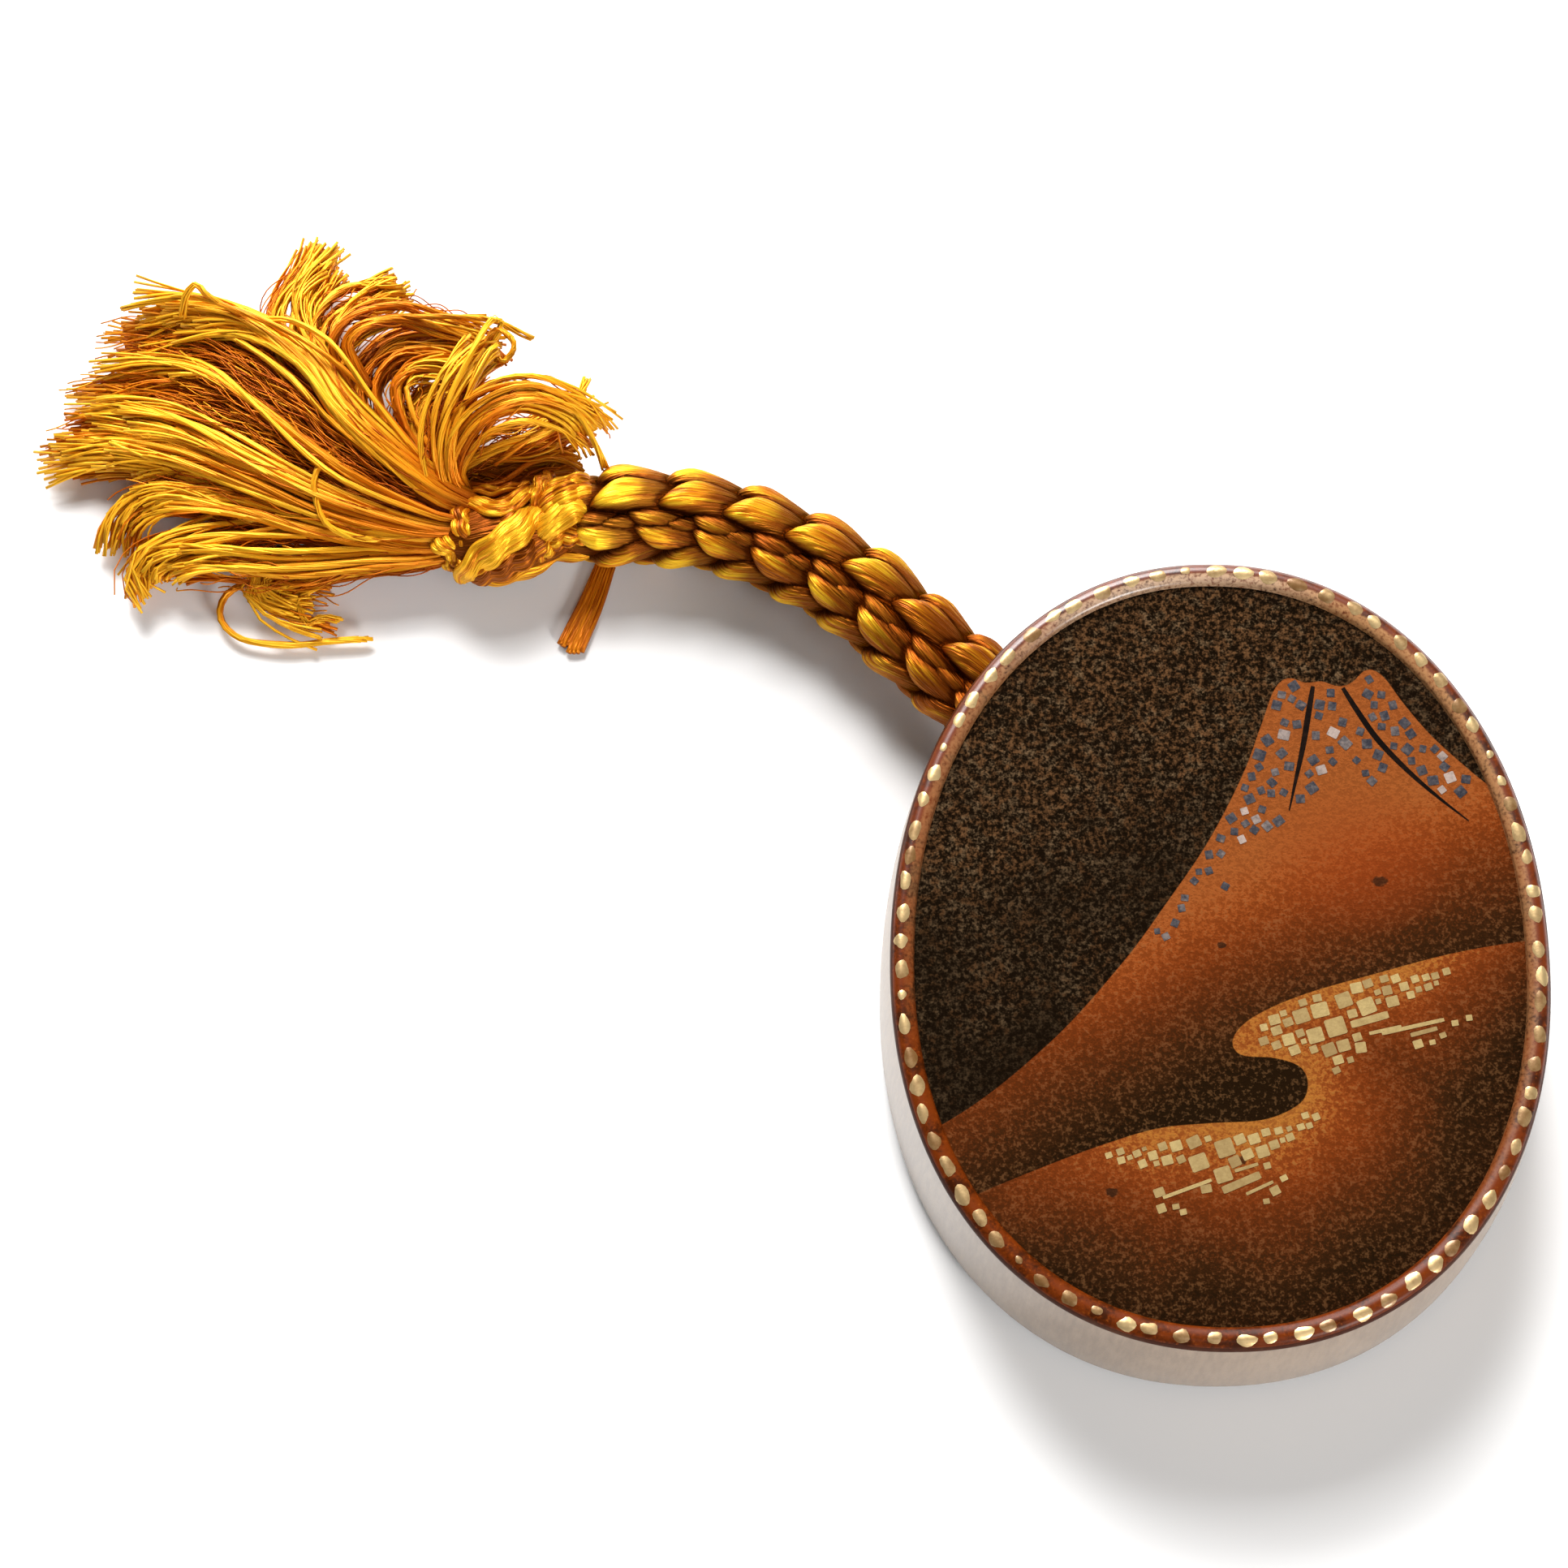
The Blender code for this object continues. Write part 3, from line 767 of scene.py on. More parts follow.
@dataclass
class Studio:
    """The camera, the pale table and the soft lights."""
    look_at: Point = (-24.4, 12.7, 0.0)
    elevation: float = 73.5
    distance: float = 280.0
    view_width: float = 92.3
    sensor: float = 36.0
    table: float = 3000.0
    table_tone: Colour = (0.92, 0.915, 0.91)
    room_tone: Colour = (1.0, 0.985, 0.96)
    room_light: float = 0.12

    def build(self) -> None:
        """Set everything up."""
        self.camera()
        self.floor()
        self.lights()

    def camera(self) -> None:
        """A camera above the table, looking down from the front."""
        bpy.ops.object.camera_add(rotation=(math.radians(90 - self.elevation), 0, 0))
        camera = bpy.context.object
        camera.name = "camera"
        tilt = math.radians(self.elevation)
        back = Vector((0, -math.cos(tilt), math.sin(tilt)))
        camera.location = (Vector(self.look_at) + back * self.distance) * MM
        camera.data.sensor_width = self.sensor
        camera.data.lens = self.sensor * self.distance / self.view_width
        camera.data.clip_start = 0.01
        bpy.context.scene.camera = camera

    def floor(self) -> None:
        """A plain pale table under the piece."""
        bpy.ops.mesh.primitive_plane_add(size=self.table * MM)
        table = bpy.context.object
        table.name = "table"
        mix = Mixing("table_paper")
        dress(table, mix.done(Base_Color=self.table_tone, Roughness=0.7, Specular_IOR_Level=0.2))

    def lights(self) -> None:
        """A soft key and a back light from the far side, two from the near side, a pale room."""
        self.lamp("key", (-110, 460, 600), 240, 3.6)
        self.lamp("back", (-130, 520, 330), 420, 7.5)
        self.lamp("low", (330, -500, 240), 220, 3.6)
        self.lamp("over", (160, -260, 600), 340, 0.6)
        world = bpy.data.worlds.new("room")
        world.use_nodes = True
        air = world.node_tree.nodes["Background"]
        air.inputs["Color"].default_value = (*self.room_tone, 1.0)
        air.inputs["Strength"].default_value = self.room_light
        bpy.context.scene.world = world
        bpy.context.scene.view_settings.view_transform = "Standard"

    def lamp(self, name: str, place: Point, size: float, power: float) -> None:
        """A square soft lamp that faces the middle of the view.

        Args:
            name: its name.
            place: where it hangs, in millimetres.
            size: the length of its side, in millimetres.
            power: its power in watts.
        """
        bpy.ops.object.light_add(type="AREA", location=Vector(place) * MM)
        lamp = bpy.context.object
        lamp.name = name
        lamp.data.size = size * MM
        lamp.data.energy = power
        aim = Vector(self.look_at) - Vector(place)
        lamp.rotation_euler = aim.to_track_quat("-Z", "Y").to_euler()


# ---- the oval


@dataclass(frozen=True)
class Oval:
    """The toggle's outline: a slightly squared oval, a little wider below its middle."""
    half_width: float
    half_height: float
    thickness: float
    roundness: float = 2.13
    taper: float = -0.034
    back_round: float = 1.3
    draw_in: float = 0.38
    belly: float = 2.5
    shoulder_width: float = 0.62
    shoulder_height: float = 0.8
    rim_width: float = 1.7
    rim_fall: float = 0.4
    panel_step: float = 0.15

    @classmethod
    def of_node(cls, node: str) -> "Oval":
        """The oval that fills a node's box."""
        low, high = (Vector(corner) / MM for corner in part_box(node))
        return cls((high.x - low.x) / 2, (high.y - low.y) / 2, high.z - low.z)

    def unit(self, angle: float) -> Flat:
        """The outline at an angle in radians, as shares of the half-width and half-height."""
        c, s = math.cos(angle), math.sin(angle)
        y = math.copysign(abs(s) ** (2 / self.roundness), s)
        x = math.copysign(abs(c) ** (2 / self.roundness), c) * (1 + self.taper * y)
        return x, y

    def point(self, angle: float, inset: float, height: float) -> Vector:
        """A point of the outline, drawn in by an inset, at a height."""
        x, y = self.unit(angle)
        return Vector((x * (self.half_width - inset), y * (self.half_height - inset), height))

    @property
    def panel_height(self) -> float:
        """The height of the flat that the picture lies on."""
        return self.thickness - self.rim_fall - self.panel_step

    @property
    def crest(self) -> float:
        """How far the crest of the rim bead is drawn in."""
        return self.draw_in + self.shoulder_width

    def bead(self, share: float) -> Flat:
        """A point of the rim bead's section.

        Args:
            share: how far over the bead, from the side at 0 to its inner foot at 1.

        Returns:
            Its inset and its height.
        """
        crest = 0.5
        if share < crest:
            turn = math.pi / 2 * share / crest
            return (self.draw_in + self.shoulder_width * (1 - math.cos(turn)),
                    self.thickness - self.shoulder_height * (1 - math.sin(turn)))
        turn = math.pi / 2 * (share - crest) / (1 - crest)
        return (self.crest + (self.rim_width - self.crest) * math.sin(turn),
                self.thickness - self.rim_fall * (1 - math.cos(turn)))

    def section(self, steps: int) -> list[Flat]:
        """The whole section from the back up round the side to the picture's flat.

        Args:
            steps: how many steps its round stretches have.

        Returns:
            The inset and the height of each point.
        """
        turns = [math.pi / 2 * k / steps for k in range(steps + 1)]
        profile = [(self.back_round * (1 - math.sin(a)), self.back_round * (1 - math.cos(a)))
                   for a in turns]
        shoulder = self.thickness - self.shoulder_height
        for k in range(1, steps):
            share = k / steps
            profile.append((self.draw_in * share ** 2, self.belly + (shoulder - self.belly) * share))
        profile += [self.bead(k / (2 * steps)) for k in range(2 * steps + 1)]
        profile.append((self.rim_width + 0.05, self.panel_height))
        return profile

    def outer(self, place: Vector) -> bool:
        """Whether a place lies outside the rim bead's crest."""
        x = place.x / (self.half_width - self.crest)
        y = place.y / (self.half_height - self.crest)
        return abs(x / (1 + self.taper * y)) ** self.roundness + abs(y) ** self.roundness > 1

    def even_angles(self, count: int, inset: float) -> list[float]:
        """Angles whose points on the outline are evenly spaced along it.

        Args:
            count: how many there are.
            inset: how far the outline is drawn in.

        Returns:
            The angles, in radians.
        """
        fine = 1440
        angles = [2 * math.pi * k / fine for k in range(fine + 1)]
        runs = runs_along([self.point(a, inset, 0) for a in angles])
        goals = [runs[-1] * k / count for k in range(count)]
        return [float(a) for a in np.interp(goals, runs, angles)]


def draw_oval(oval: Oval, points: int, inset: float, height: float) -> Piece:
    """Press a circle of points into the oval's outline.

    Args:
        oval: the oval.
        points: how many points there are.
        inset: how far the outline is drawn in.
        height: how high it lies.

    Returns:
        The outline, without a face.
    """
    set_aside()
    bpy.ops.mesh.primitive_circle_add(vertices=points, radius=1.0)
    ring = bpy.context.object
    for k, vertex in enumerate(ring.data.vertices):
        vertex.co = oval.point(2 * math.pi * k / points, inset, height) * MM
    return ring


def pull_ring(oval: Oval, near: Flat, far: Flat) -> None:
    """Extrude the selected outline from one inset and height to the next."""
    (inset, height), (next_inset, next_height) = near, far
    extrude(z=(next_height - height) * MM)
    widen((oval.half_width - next_inset) / (oval.half_width - inset),
          (oval.half_height - next_inset) / (oval.half_height - inset))


# ---- the lacquered body


class BodyFinish(Enum):
    """The finishes of the body, by the number of their slot."""
    SIDE = 0
    LINE = 1
    RIM = 2
    BACK = 3
    BORE = 4


@dataclass
class LacquerBody:
    """The toggle itself: back, side, rim bead, the cord's bore and the hole in the back."""
    oval: Oval
    points: int = 256
    steps: int = 9
    bore: float = 7.2
    bore_at: Point = (-13.25, 16.75, 5.0)
    bore_way: Point = (0.69, -0.724, 0.0)
    bore_depth: float = 14.0
    lead: float = 4.0
    hole: float = 3.5
    hole_in: float = 11.6
    line_from: float = 0.10
    line_to: float = 0.50
    slack: float = 0.05     # how far off its own place a wall's middle may be
    lip: float = 1.5        # how far outside the middle of the mouth the bore's wall begins
    past: float = 0.5       # how far beyond the bore's end its faces are looked for
    deep: float = 3.0       # further in than this, every face near the axis is the bore's

    @property
    def mouth(self) -> Vector:
        """The middle of the bore's mouth."""
        return Vector(self.bore_at)

    @property
    def way(self) -> Vector:
        """The way that the bore runs in."""
        return Vector(self.bore_way).normalized()

    @property
    def top(self) -> float:
        """The height at which the side ends."""
        return self.oval.thickness - self.oval.shoulder_height

    def build(self) -> Piece:
        """Pull the outline up through its section, close it, and cut the bore and the hole."""
        section = self.oval.section(self.steps)
        body = draw_oval(self.oval, self.points, *section[0])
        with shaping(body, whole=True):
            for near, far in pairwise(section):
                pull_ring(self.oval, near, far)
            close_ends(body)
        finish_mesh(body, "lacquer_body")
        self.pierce(body)
        self.coat(body)
        settle(body, "lacquer", "netsuke_body")
        return body

    def pierce(self, body: Piece) -> None:
        """Cut the bore in from the side, and the cord hole up from the back into it."""
        length = self.lead + self.bore_depth
        set_aside()
        bpy.ops.mesh.primitive_cylinder_add(
            vertices=64, radius=self.bore / 2 * MM, depth=length * MM,
            location=(self.mouth + self.way * (length / 2 - self.lead)) * MM,
            rotation=self.way.to_track_quat("Z", "Y").to_euler())
        cut(body, bpy.context.object)
        hole_at = self.mouth + self.way * self.hole_in
        set_aside()
        bpy.ops.mesh.primitive_cylinder_add(
            vertices=48, radius=self.hole / 2 * MM, depth=(hole_at.z + 1) * MM,
            location=Vector((hole_at.x, hole_at.y, (hole_at.z - 1) / 2)) * MM)
        cut(body, bpy.context.object)
        finish_mesh(body, "lacquer_body")

    def coat(self, body: Piece) -> None:
        """Give each band of the section its finish."""
        finishes = (
            SideLacquer(),
            DarkLacquer("line_lacquer", (0.042, 0.0095, 0.003), coat=0.05),
            RimLacquer(),
            DarkLacquer("back_lacquer", (0.055, 0.022, 0.011), (0.11, 0.045, 0.02)),
            DarkLacquer("bore_lacquer", gloss=0.5))
        dress(body, *(finish.material() for finish in finishes))
        for face in body.data.polygons:
            face.material_index = self.band(face).value

    def band(self, face: bpy.types.MeshPolygon) -> BodyFinish:
        """Which finish a face takes, by where its middle lies and how it faces."""
        centre = face.center / MM
        off = centre - self.mouth
        depth = off.dot(self.way)
        near = (off - self.way * depth).length < self.bore / 2 + self.slack
        inside = -self.lip < depth < self.bore_depth + self.past and centre.z < self.top
        wall = depth > self.deep or abs(face.normal.dot(self.way)) < 0.5
        off_hole = (off - self.way * self.hole_in).xy.length
        if near and inside and wall or off_hole < self.hole / 2 and centre.z > self.slack:
            return BodyFinish.BORE
        if centre.z < self.slack:
            return BodyFinish.BACK
        if centre.z < self.top + self.line_from:
            return BodyFinish.SIDE
        if centre.z < self.top + self.line_to and self.oval.outer(centre):
            return BodyFinish.LINE
        return BodyFinish.RIM


# ---- the picture


def within(ring: Sequence[Flat], x: Any, y: Any) -> Rows:
    """Whether places lie inside a ring.

    Args:
        ring: the ring's flat points, the first of them again at the end.
        x, y: the places: two numbers or two rows of numbers.

    Returns:
        True or False for each.
    """
    inside = np.zeros(np.shape(x), dtype=bool)
    for (ax, ay), (bx, by) in pairwise(ring):
        if ay != by:
            inside ^= ((ay > y) != (by > y)) & (x < ax + (y - ay) * (bx - ax) / (by - ay))
    return inside


@dataclass(frozen=True)
class Brushline:
    """A drawn line on the face: a smooth curve through a few points, in millimetres."""
    points: tuple[Flat, ...]
    close: tuple[Flat, ...] = ()
    steps: int = 160

    @cache
    def trace(self) -> Rows:
        """The line as evenly spaced points."""
        return np.array([p.xy for p in smooth_route([(*p, 0) for p in self.points], self.steps)])

    def distance(self, places: Rows) -> Rows:
        """How far flat places, one to a row, are from the line."""
        line = self.trace()
        nearest = np.full(len(places), np.inf)
        for a, d in zip(line, np.diff(line, axis=0)):
            off = places - a
            share = np.clip(off @ d / (d @ d), 0, 1)
            off = off - share[:, None] * d
            nearest = np.minimum(nearest, (off * off).sum(1))
        return np.sqrt(nearest)

    def depth_in(self, places: Rows) -> Rows:
        """How far places are inside the area under the line.

        Args:
            places: flat places, one to a row.

        Returns:
            A distance for each, negative outside.
        """
        line = self.trace()
        ring = np.vstack([line, self.close, line[:1]])
        depth = self.distance(places)
        return np.where(within(ring, places[:, 0], places[:, 1]), depth, -depth)


RIDGE = Brushline(
    ((-24.2, -14.1), (-15.5, -10.0), (-9.8, -5.6), (-5.6, -1.0), (-2.8, 2.8), (-0.5, 6.2),
     (1.5, 10.0), (2.7, 13.1), (3.5, 15.2), (4.3, 15.9), (5.3, 15.6), (6.2, 15.7), (7.1, 15.4),
     (7.9, 15.6), (8.8, 16.4), (9.7, 16.0), (10.8, 14.4), (12.2, 12.6), (14.0, 10.8),
     (16.0, 9.1), (21.5, 5.1)),
    ((24.3, -30.5), (-25.2, -30.5)), 260)
MIST = Brushline(
    ((23.5, 1.3), (16.9, 0.4), (13.0, -0.3), (8.9, -1.4), (4.5, -2.7), (1.7, -4.0),
     (0.6, -5.2), (1.0, -6.1), (2.9, -6.3), (4.3, -6.8), (4.7, -7.8), (4.2, -8.9), (2.2, -9.8),
     (-0.8, -10.0), (-3.7, -10.3), (-6.7, -11.2), (-9.9, -12.4), (-13.5, -13.9), (-20.2, -16.9)),
    ((-20.3, -30.5), (23.3, -30.5)), 260)
LEFT_RAVINE = Brushline(((5.7, 15.4), (5.4, 13.8), (5.0, 11.7), (4.5, 9.6), (4.1, 7.9)))
RIGHT_RAVINE = Brushline(
    ((7.4, 15.3), (8.2, 13.9), (9.3, 12.2), (10.9, 10.4), (12.6, 8.8), (14.4, 7.3)))


@dataclass
class PaintedPanel:
    """The sprinkled picture: a thin sheet of lacquer that fills the rim."""
    oval: Oval
    inset: float = 1.62
    proud: float = 0.02
    under: float = 0.06
    points: int = 320
    rings: int = 68

    @property
    def top(self) -> float:
        """The height of the painted face."""
        return self.oval.panel_height + self.proud

    def build(self) -> Piece:
        """Draw the outline in, ring by ring, close it at the middle and thicken it below."""
        panel = draw_oval(self.oval, self.points, self.inset, self.top - self.under)
        with shaping(panel, whole=True):
            extrude(z=self.under * MM)
            for ring in range(self.rings, 1, -1):
                extrude()
                widen((ring - 1) / ring, (ring - 1) / ring)
            close_ends(panel)
        finish_mesh(panel, "painted_panel")
        places = np.array([v.co.xy for v in panel.data.vertices]) / MM
        add_values(panel, "ridge", RIDGE.depth_in(places))
        add_values(panel, "mist", MIST.depth_in(places))
        dress(panel, Powdered().material())
        settle(panel, "lacquer")
        return panel


def gather(name: str, template: Piece, moulds: Sequence[Mould], tones: Sequence[float]) -> Piece:
    """Copy a small piece into each mould, and join the copies.

    Args:
        name: the joined piece's name.
        template: the small piece, which is used up.
        moulds: for each copy, what turns a point of the template into its place, in
            millimetres.
        tones: for each copy, the number stored on it as "tone".

    Returns:
        The joined piece.
    """
    copies = []
    for mould, tone in zip(moulds, tones):
        copy = template.copy()
        copy.data = template.data.copy()
        bpy.context.collection.objects.link(copy)
        for vertex in copy.data.vertices:
            vertex.co = mould(vertex.co) * MM
        add_values(copy, "tone", np.full(len(copy.data.vertices), tone))
        copies.append(copy)
    bpy.data.objects.remove(template, do_unlink=True)
    return join(name, copies)


@dataclass(frozen=True)
class Plate:
    """One small plate laid on the picture."""
    at: Flat
    size: Flat
    turn: float
    tone: float


@dataclass
class Inlay:
    """Flat plates laid on the picture: squares and bars, as thin as leaf."""
    panel: PaintedPanel
    thickness: float = 0.02
    sunk: float = 0.01
    uneven: float = 0.002
    corner: float = 0.07    # as a share of a plate's side

    def lay(self, name: str, plates: Sequence[Plate], finish: LeafMetal) -> Piece:
        """Cut one plate, lay a copy at each place and dress them.

        Args:
            name: the name of the piece that they make.
            plates: the plates.
            finish: their leaf.

        Returns:
            The piece.
        """
        set_aside()
        bpy.ops.mesh.primitive_cube_add(size=1.0)
        square = bpy.context.object
        with shaping(square):
            choose_edges(square, lambda e: abs((e.verts[0].co - e.verts[1].co).z) > 0.5)
            bpy.ops.mesh.bevel(offset=self.corner, segments=1)
        moulds = [self.mould(plate, k) for k, plate in enumerate(plates)]
        laid = gather(name, square, moulds, [plate.tone for plate in plates])
        dress(laid, finish.material())
        settle(laid, "lacquer")
        return laid

    def mould(self, plate: Plate, number: int) -> Mould:
        """How the square becomes one plate; neighbours differ a hair in height.

        Args:
            plate: the plate.
            number: its number, which its height goes by.

        Returns:
            What turns a point of the square into its place.
        """
        turn = Matrix.Rotation(math.radians(plate.turn), 2)
        top = self.thickness + self.uneven * (number % 5)

        def place(point: Vector) -> Vector:
            """Turn and size one point of the square."""
            flat = turn @ Vector((point.x * plate.size[0], point.y * plate.size[1]))
            height = self.panel.top + (top if point.z > 0 else -self.sunk)
            return Vector((plate.at[0] + flat.x, plate.at[1] + flat.y, height))
        return place


@dataclass(frozen=True)
class Drift:
    """One drift of leaf: its outline, where it is fullest, its lean, and its bars."""
    outline: tuple[Flat, ...]
    heart: Flat
    spread: Flat
    lean: float
    bars: tuple[tuple[Flat, Flat, float], ...]
    crumbs: tuple[Flat, ...]

    def holds(self, x: float, y: float) -> bool:
        """Whether a place lies inside the outline."""
        return bool(within((*self.outline, self.outline[0]), x, y))

    def fullness(self, x: float, y: float) -> float:
        """How large the squares are here, from 0 to 1."""
        u, v = (x - self.heart[0]) / self.spread[0], (y - self.heart[1]) / self.spread[1]
        return math.exp(-(u * u + v * v))


DRIFTS = (
    Drift(((1.9, -5.5), (2.4, -4.4), (3.6, -3.5), (6.0, -2.5), (9.3, -1.7), (12.3, -1.2),
           (13.0, -1.4), (11.6, -2.3), (9.8, -3.1), (8.8, -3.7), (7.8, -4.0), (7.5, -5.5),
           (6.6, -6.7), (5.8, -6.9), (5.6, -5.9), (3.4, -5.9)),
          (6.8, -4.2), (3.6, 1.9), 17,
          (((7.2, -4.4), (9.3, -3.8), 0.42), ((8.9, -4.9), (12.4, -4.1), 0.22),
           ((8.2, -4.9), (10.0, -4.5), 0.20), ((10.5, -5.0), (12.0, -4.6), 0.24)),
          ((11.7, -5.4), (10.9, -5.5), (13.0, -4.3), (13.8, -4.0), (6.3, -7.0), (7.1, -6.4),
           (7.7, -5.7), (12.3, -5.0))),
    Drift(((-6.7, -11.9), (-6.0, -11.5), (-3.3, -11.3), (-2.0, -10.9), (1.6, -10.6),
           (3.4, -10.2), (4.9, -9.2), (5.3, -9.4), (4.8, -10.3), (3.6, -10.9), (2.4, -11.7),
           (1.2, -12.4), (0.2, -13.1), (-1.6, -12.9), (-2.5, -12.1), (-4.5, -12.4)),
          (-0.3, -12.1), (2.6, 1.5), 20,
          (((-3.5, -14.2), (-0.8, -13.2), 0.20), ((-0.2, -13.8), (1.9, -12.9), 0.44),
           ((1.1, -14.0), (2.6, -13.3), 0.18), ((0.5, -12.7), (1.8, -12.3), 0.18)),
          ((-3.6, -14.8), (-2.8, -14.7), (-3.7, -13.9), (-2.4, -15.0), (2.7, -13.8),
           (3.2, -13.1), (2.3, -12.4), (-1.1, -13.7), (2.2, -14.4))),
)


@dataclass
class GoldLeaf:
    """Two drifts of cut gold leaf in the mist: packed squares, with bars under them."""
    inlay: Inlay
    seed: int = 12
    tries: int = 5000
    joint: float = 0.075
    least: float = 0.24
    spread: Flat = (0.42, 0.72)
    waning: float = 0.62
    finish: LeafMetal = LeafMetal("gold_leaf", (0.24, 0.150, 0.050), (0.48, 0.345, 0.135),
                                  metal=0.35, roughness=0.36)

    def build(self) -> Piece:
        """Lay both drifts."""
        draw = random.Random(self.seed)
        plates = [plate for drift in DRIFTS for plate in self.pack(drift, draw)]
        return self.inlay.lay("gold_leaf_squares", plates, self.finish)

    def pack(self, drift: Drift, draw: random.Random) -> list[Plate]:
        """Lay a drift's bars and crumbs, then pack squares round them, the largest first.

        Args:
            drift: the drift.
            draw: the source of chance.

        Returns:
            Its plates.
        """
        plates = []
        for a, b, wide in drift.bars:
            way = Vector(b) - Vector(a)
            plates.append(Plate(tuple(Vector(a).lerp(Vector(b), 0.5)), (way.length, wide),
                                math.degrees(math.atan2(way.y, way.x)), draw.random()))
        for x, y in drift.crumbs:
            size = draw.uniform(0.34, 0.62)
            plates.append(Plate((x, y), (size, size * draw.uniform(0.75, 1.0)),
                                drift.lean + draw.uniform(-12, 12), draw.random()))
        turn = Matrix.Rotation(-math.radians(drift.lean), 2)
        xs, ys = zip(*drift.outline)
        smallest, more = self.spread
        for k in range(self.tries):
            x, y = draw.uniform(min(xs), max(xs)), draw.uniform(min(ys), max(ys))
            size = (smallest + more * drift.fullness(x, y)) * (1 - self.waning * k / self.tries)
            if size < self.least or not drift.holds(x, y):
                continue
            size_up = size * draw.uniform(0.82, 1.0)
            offs = [turn @ (Vector(plate.at) - Vector((x, y))) for plate in plates]
            if all(abs(off.x) >= (plate.size[0] + size) / 2 + self.joint
                   or abs(off.y) >= (plate.size[1] + size_up) / 2 + self.joint
                   for off, plate in zip(offs, plates)):
                plates.append(Plate((x, y), (size, size_up), drift.lean + draw.uniform(-5, 5),
                                    draw.random()))
        return plates


@dataclass
class ShellInlay:
    """Small squares of blue-grey shell round the summits and down the left slope."""
    inlay: Inlay
    seed: int = 5
    count: int = 125
    tries: int = 5200
    apart: float = 0.14
    low: Flat = (-4.2, 0.6)
    high: Flat = (14.2, 16.6)
    edge: float = 0.4       # how far inside the ridge the squares begin
    off_line: float = 0.45
    stray: float = 0.42
    strays: tuple[Flat, ...] = ((1.0, 6.8), (0.2, 5.5), (1.6, 8.0), (2.6, 8.1), (-0.5, 4.5),
                                (0.4, 3.6), (3.4, 10.3), (2.5, 10.6))
    finish: LeafMetal = LeafMetal("blue_shell", (0.014, 0.014, 0.021), (0.42, 0.32, 0.27),
                                  metal=0.0, roughness=0.30, coat=0.08)

    def build(self) -> Piece:
        """Scatter the squares where the powder is thickest, sparser further from the edge."""
        draw = np.random.default_rng(self.seed)
        spots = np.stack([draw.uniform(low, high, self.tries)
                          for low, high in zip(self.low, self.high)], 1)
        depths = RIDGE.depth_in(spots)
        lines = np.minimum(LEFT_RAVINE.distance(spots), RIGHT_RAVINE.distance(spots))
        plates = [Plate(at, (self.stray, self.stray), draw.uniform(0, 90), draw.random() ** 4)
                  for at in self.strays]
        for (x, y), depth, line in zip(spots, depths, lines):
            reach = 1.1 + 3.5 * ease((y - 4.0) / 6.5)
            size = draw.uniform(0.38, 0.64) * (0.80 + 0.20 * ease((y - 2) / 6))
            thin = draw.random() < 0.75 - 0.55 * depth / reach
            clear = all(math.dist(p.at, (x, y)) > (p.size[0] + size) * 0.5 + self.apart
                        for p in plates)
            clear = clear and line > self.off_line and not (x > 9.5 and depth > 2.3)
            if self.edge < depth < reach and thin and clear:
                plates.append(Plate((x, y), (size, size * draw.uniform(0.85, 1.15)),
                                    draw.uniform(0, 90), draw.random() ** 12))
            if len(plates) == self.count:
                break
        return self.inlay.lay("shell_squares", plates, self.finish)


@dataclass
class RavineLines:
    """Two dark lines of lacquer that run down from the summits."""
    panel: PaintedPanel
    widest: float = 0.33
    height: float = 0.018
    sunk: float = 0.01
    finish: DarkLacquer = DarkLacquer("ravine_lacquer", (0.004, 0.0024, 0.0018),
                                      (0.02, 0.008, 0.004), coat=0.05)

    def build(self) -> Piece:
        """Draw both lines as thin tapered strokes."""
        lines = join("ravine_lines", [self.stroke(line) for line in (LEFT_RAVINE, RIGHT_RAVINE)])
        dress(lines, self.finish.material())
        settle(lines, "lacquer")
        return lines

    def stroke(self, line: Brushline) -> Piece:
        """One stroke: a cross-piece extruded along a line, thin at both ends.

        Args:
            line: the line.

        Returns:
            The stroke.
        """
        middle = [Vector((x, y, 0)) for x, y in line.trace()[::6]]
        set_aside()
        bpy.ops.mesh.primitive_plane_add(size=1.0)
        stroke = bpy.context.object
        steps = len(middle) - 1
        with shaping(stroke):
            choose_edges(stroke, lambda e: all(v.co.y > 0 for v in e.verts))
            for _ in range(steps - 1):
                extrude(y=1)
        for vertex in stroke.data.vertices:
            step = round(vertex.co.y + 0.5)
            ahead = heading(middle, step).normalized()
            swell = math.sin(math.pi * (0.22 + 0.75 * (step / steps) ** 0.8))
            half = self.widest / 2 * (0.12 + 0.88 * swell)
            side = Vector((-ahead.y, ahead.x, 0)) * math.copysign(half, vertex.co.x)
            foot = Vector((0, 0, self.panel.top - self.sunk))
            vertex.co = (middle[step] - side + foot) * MM
        with shaping(stroke, "FACE", whole=True):
            extrude(z=(self.height + self.sunk) * MM)
        return stroke


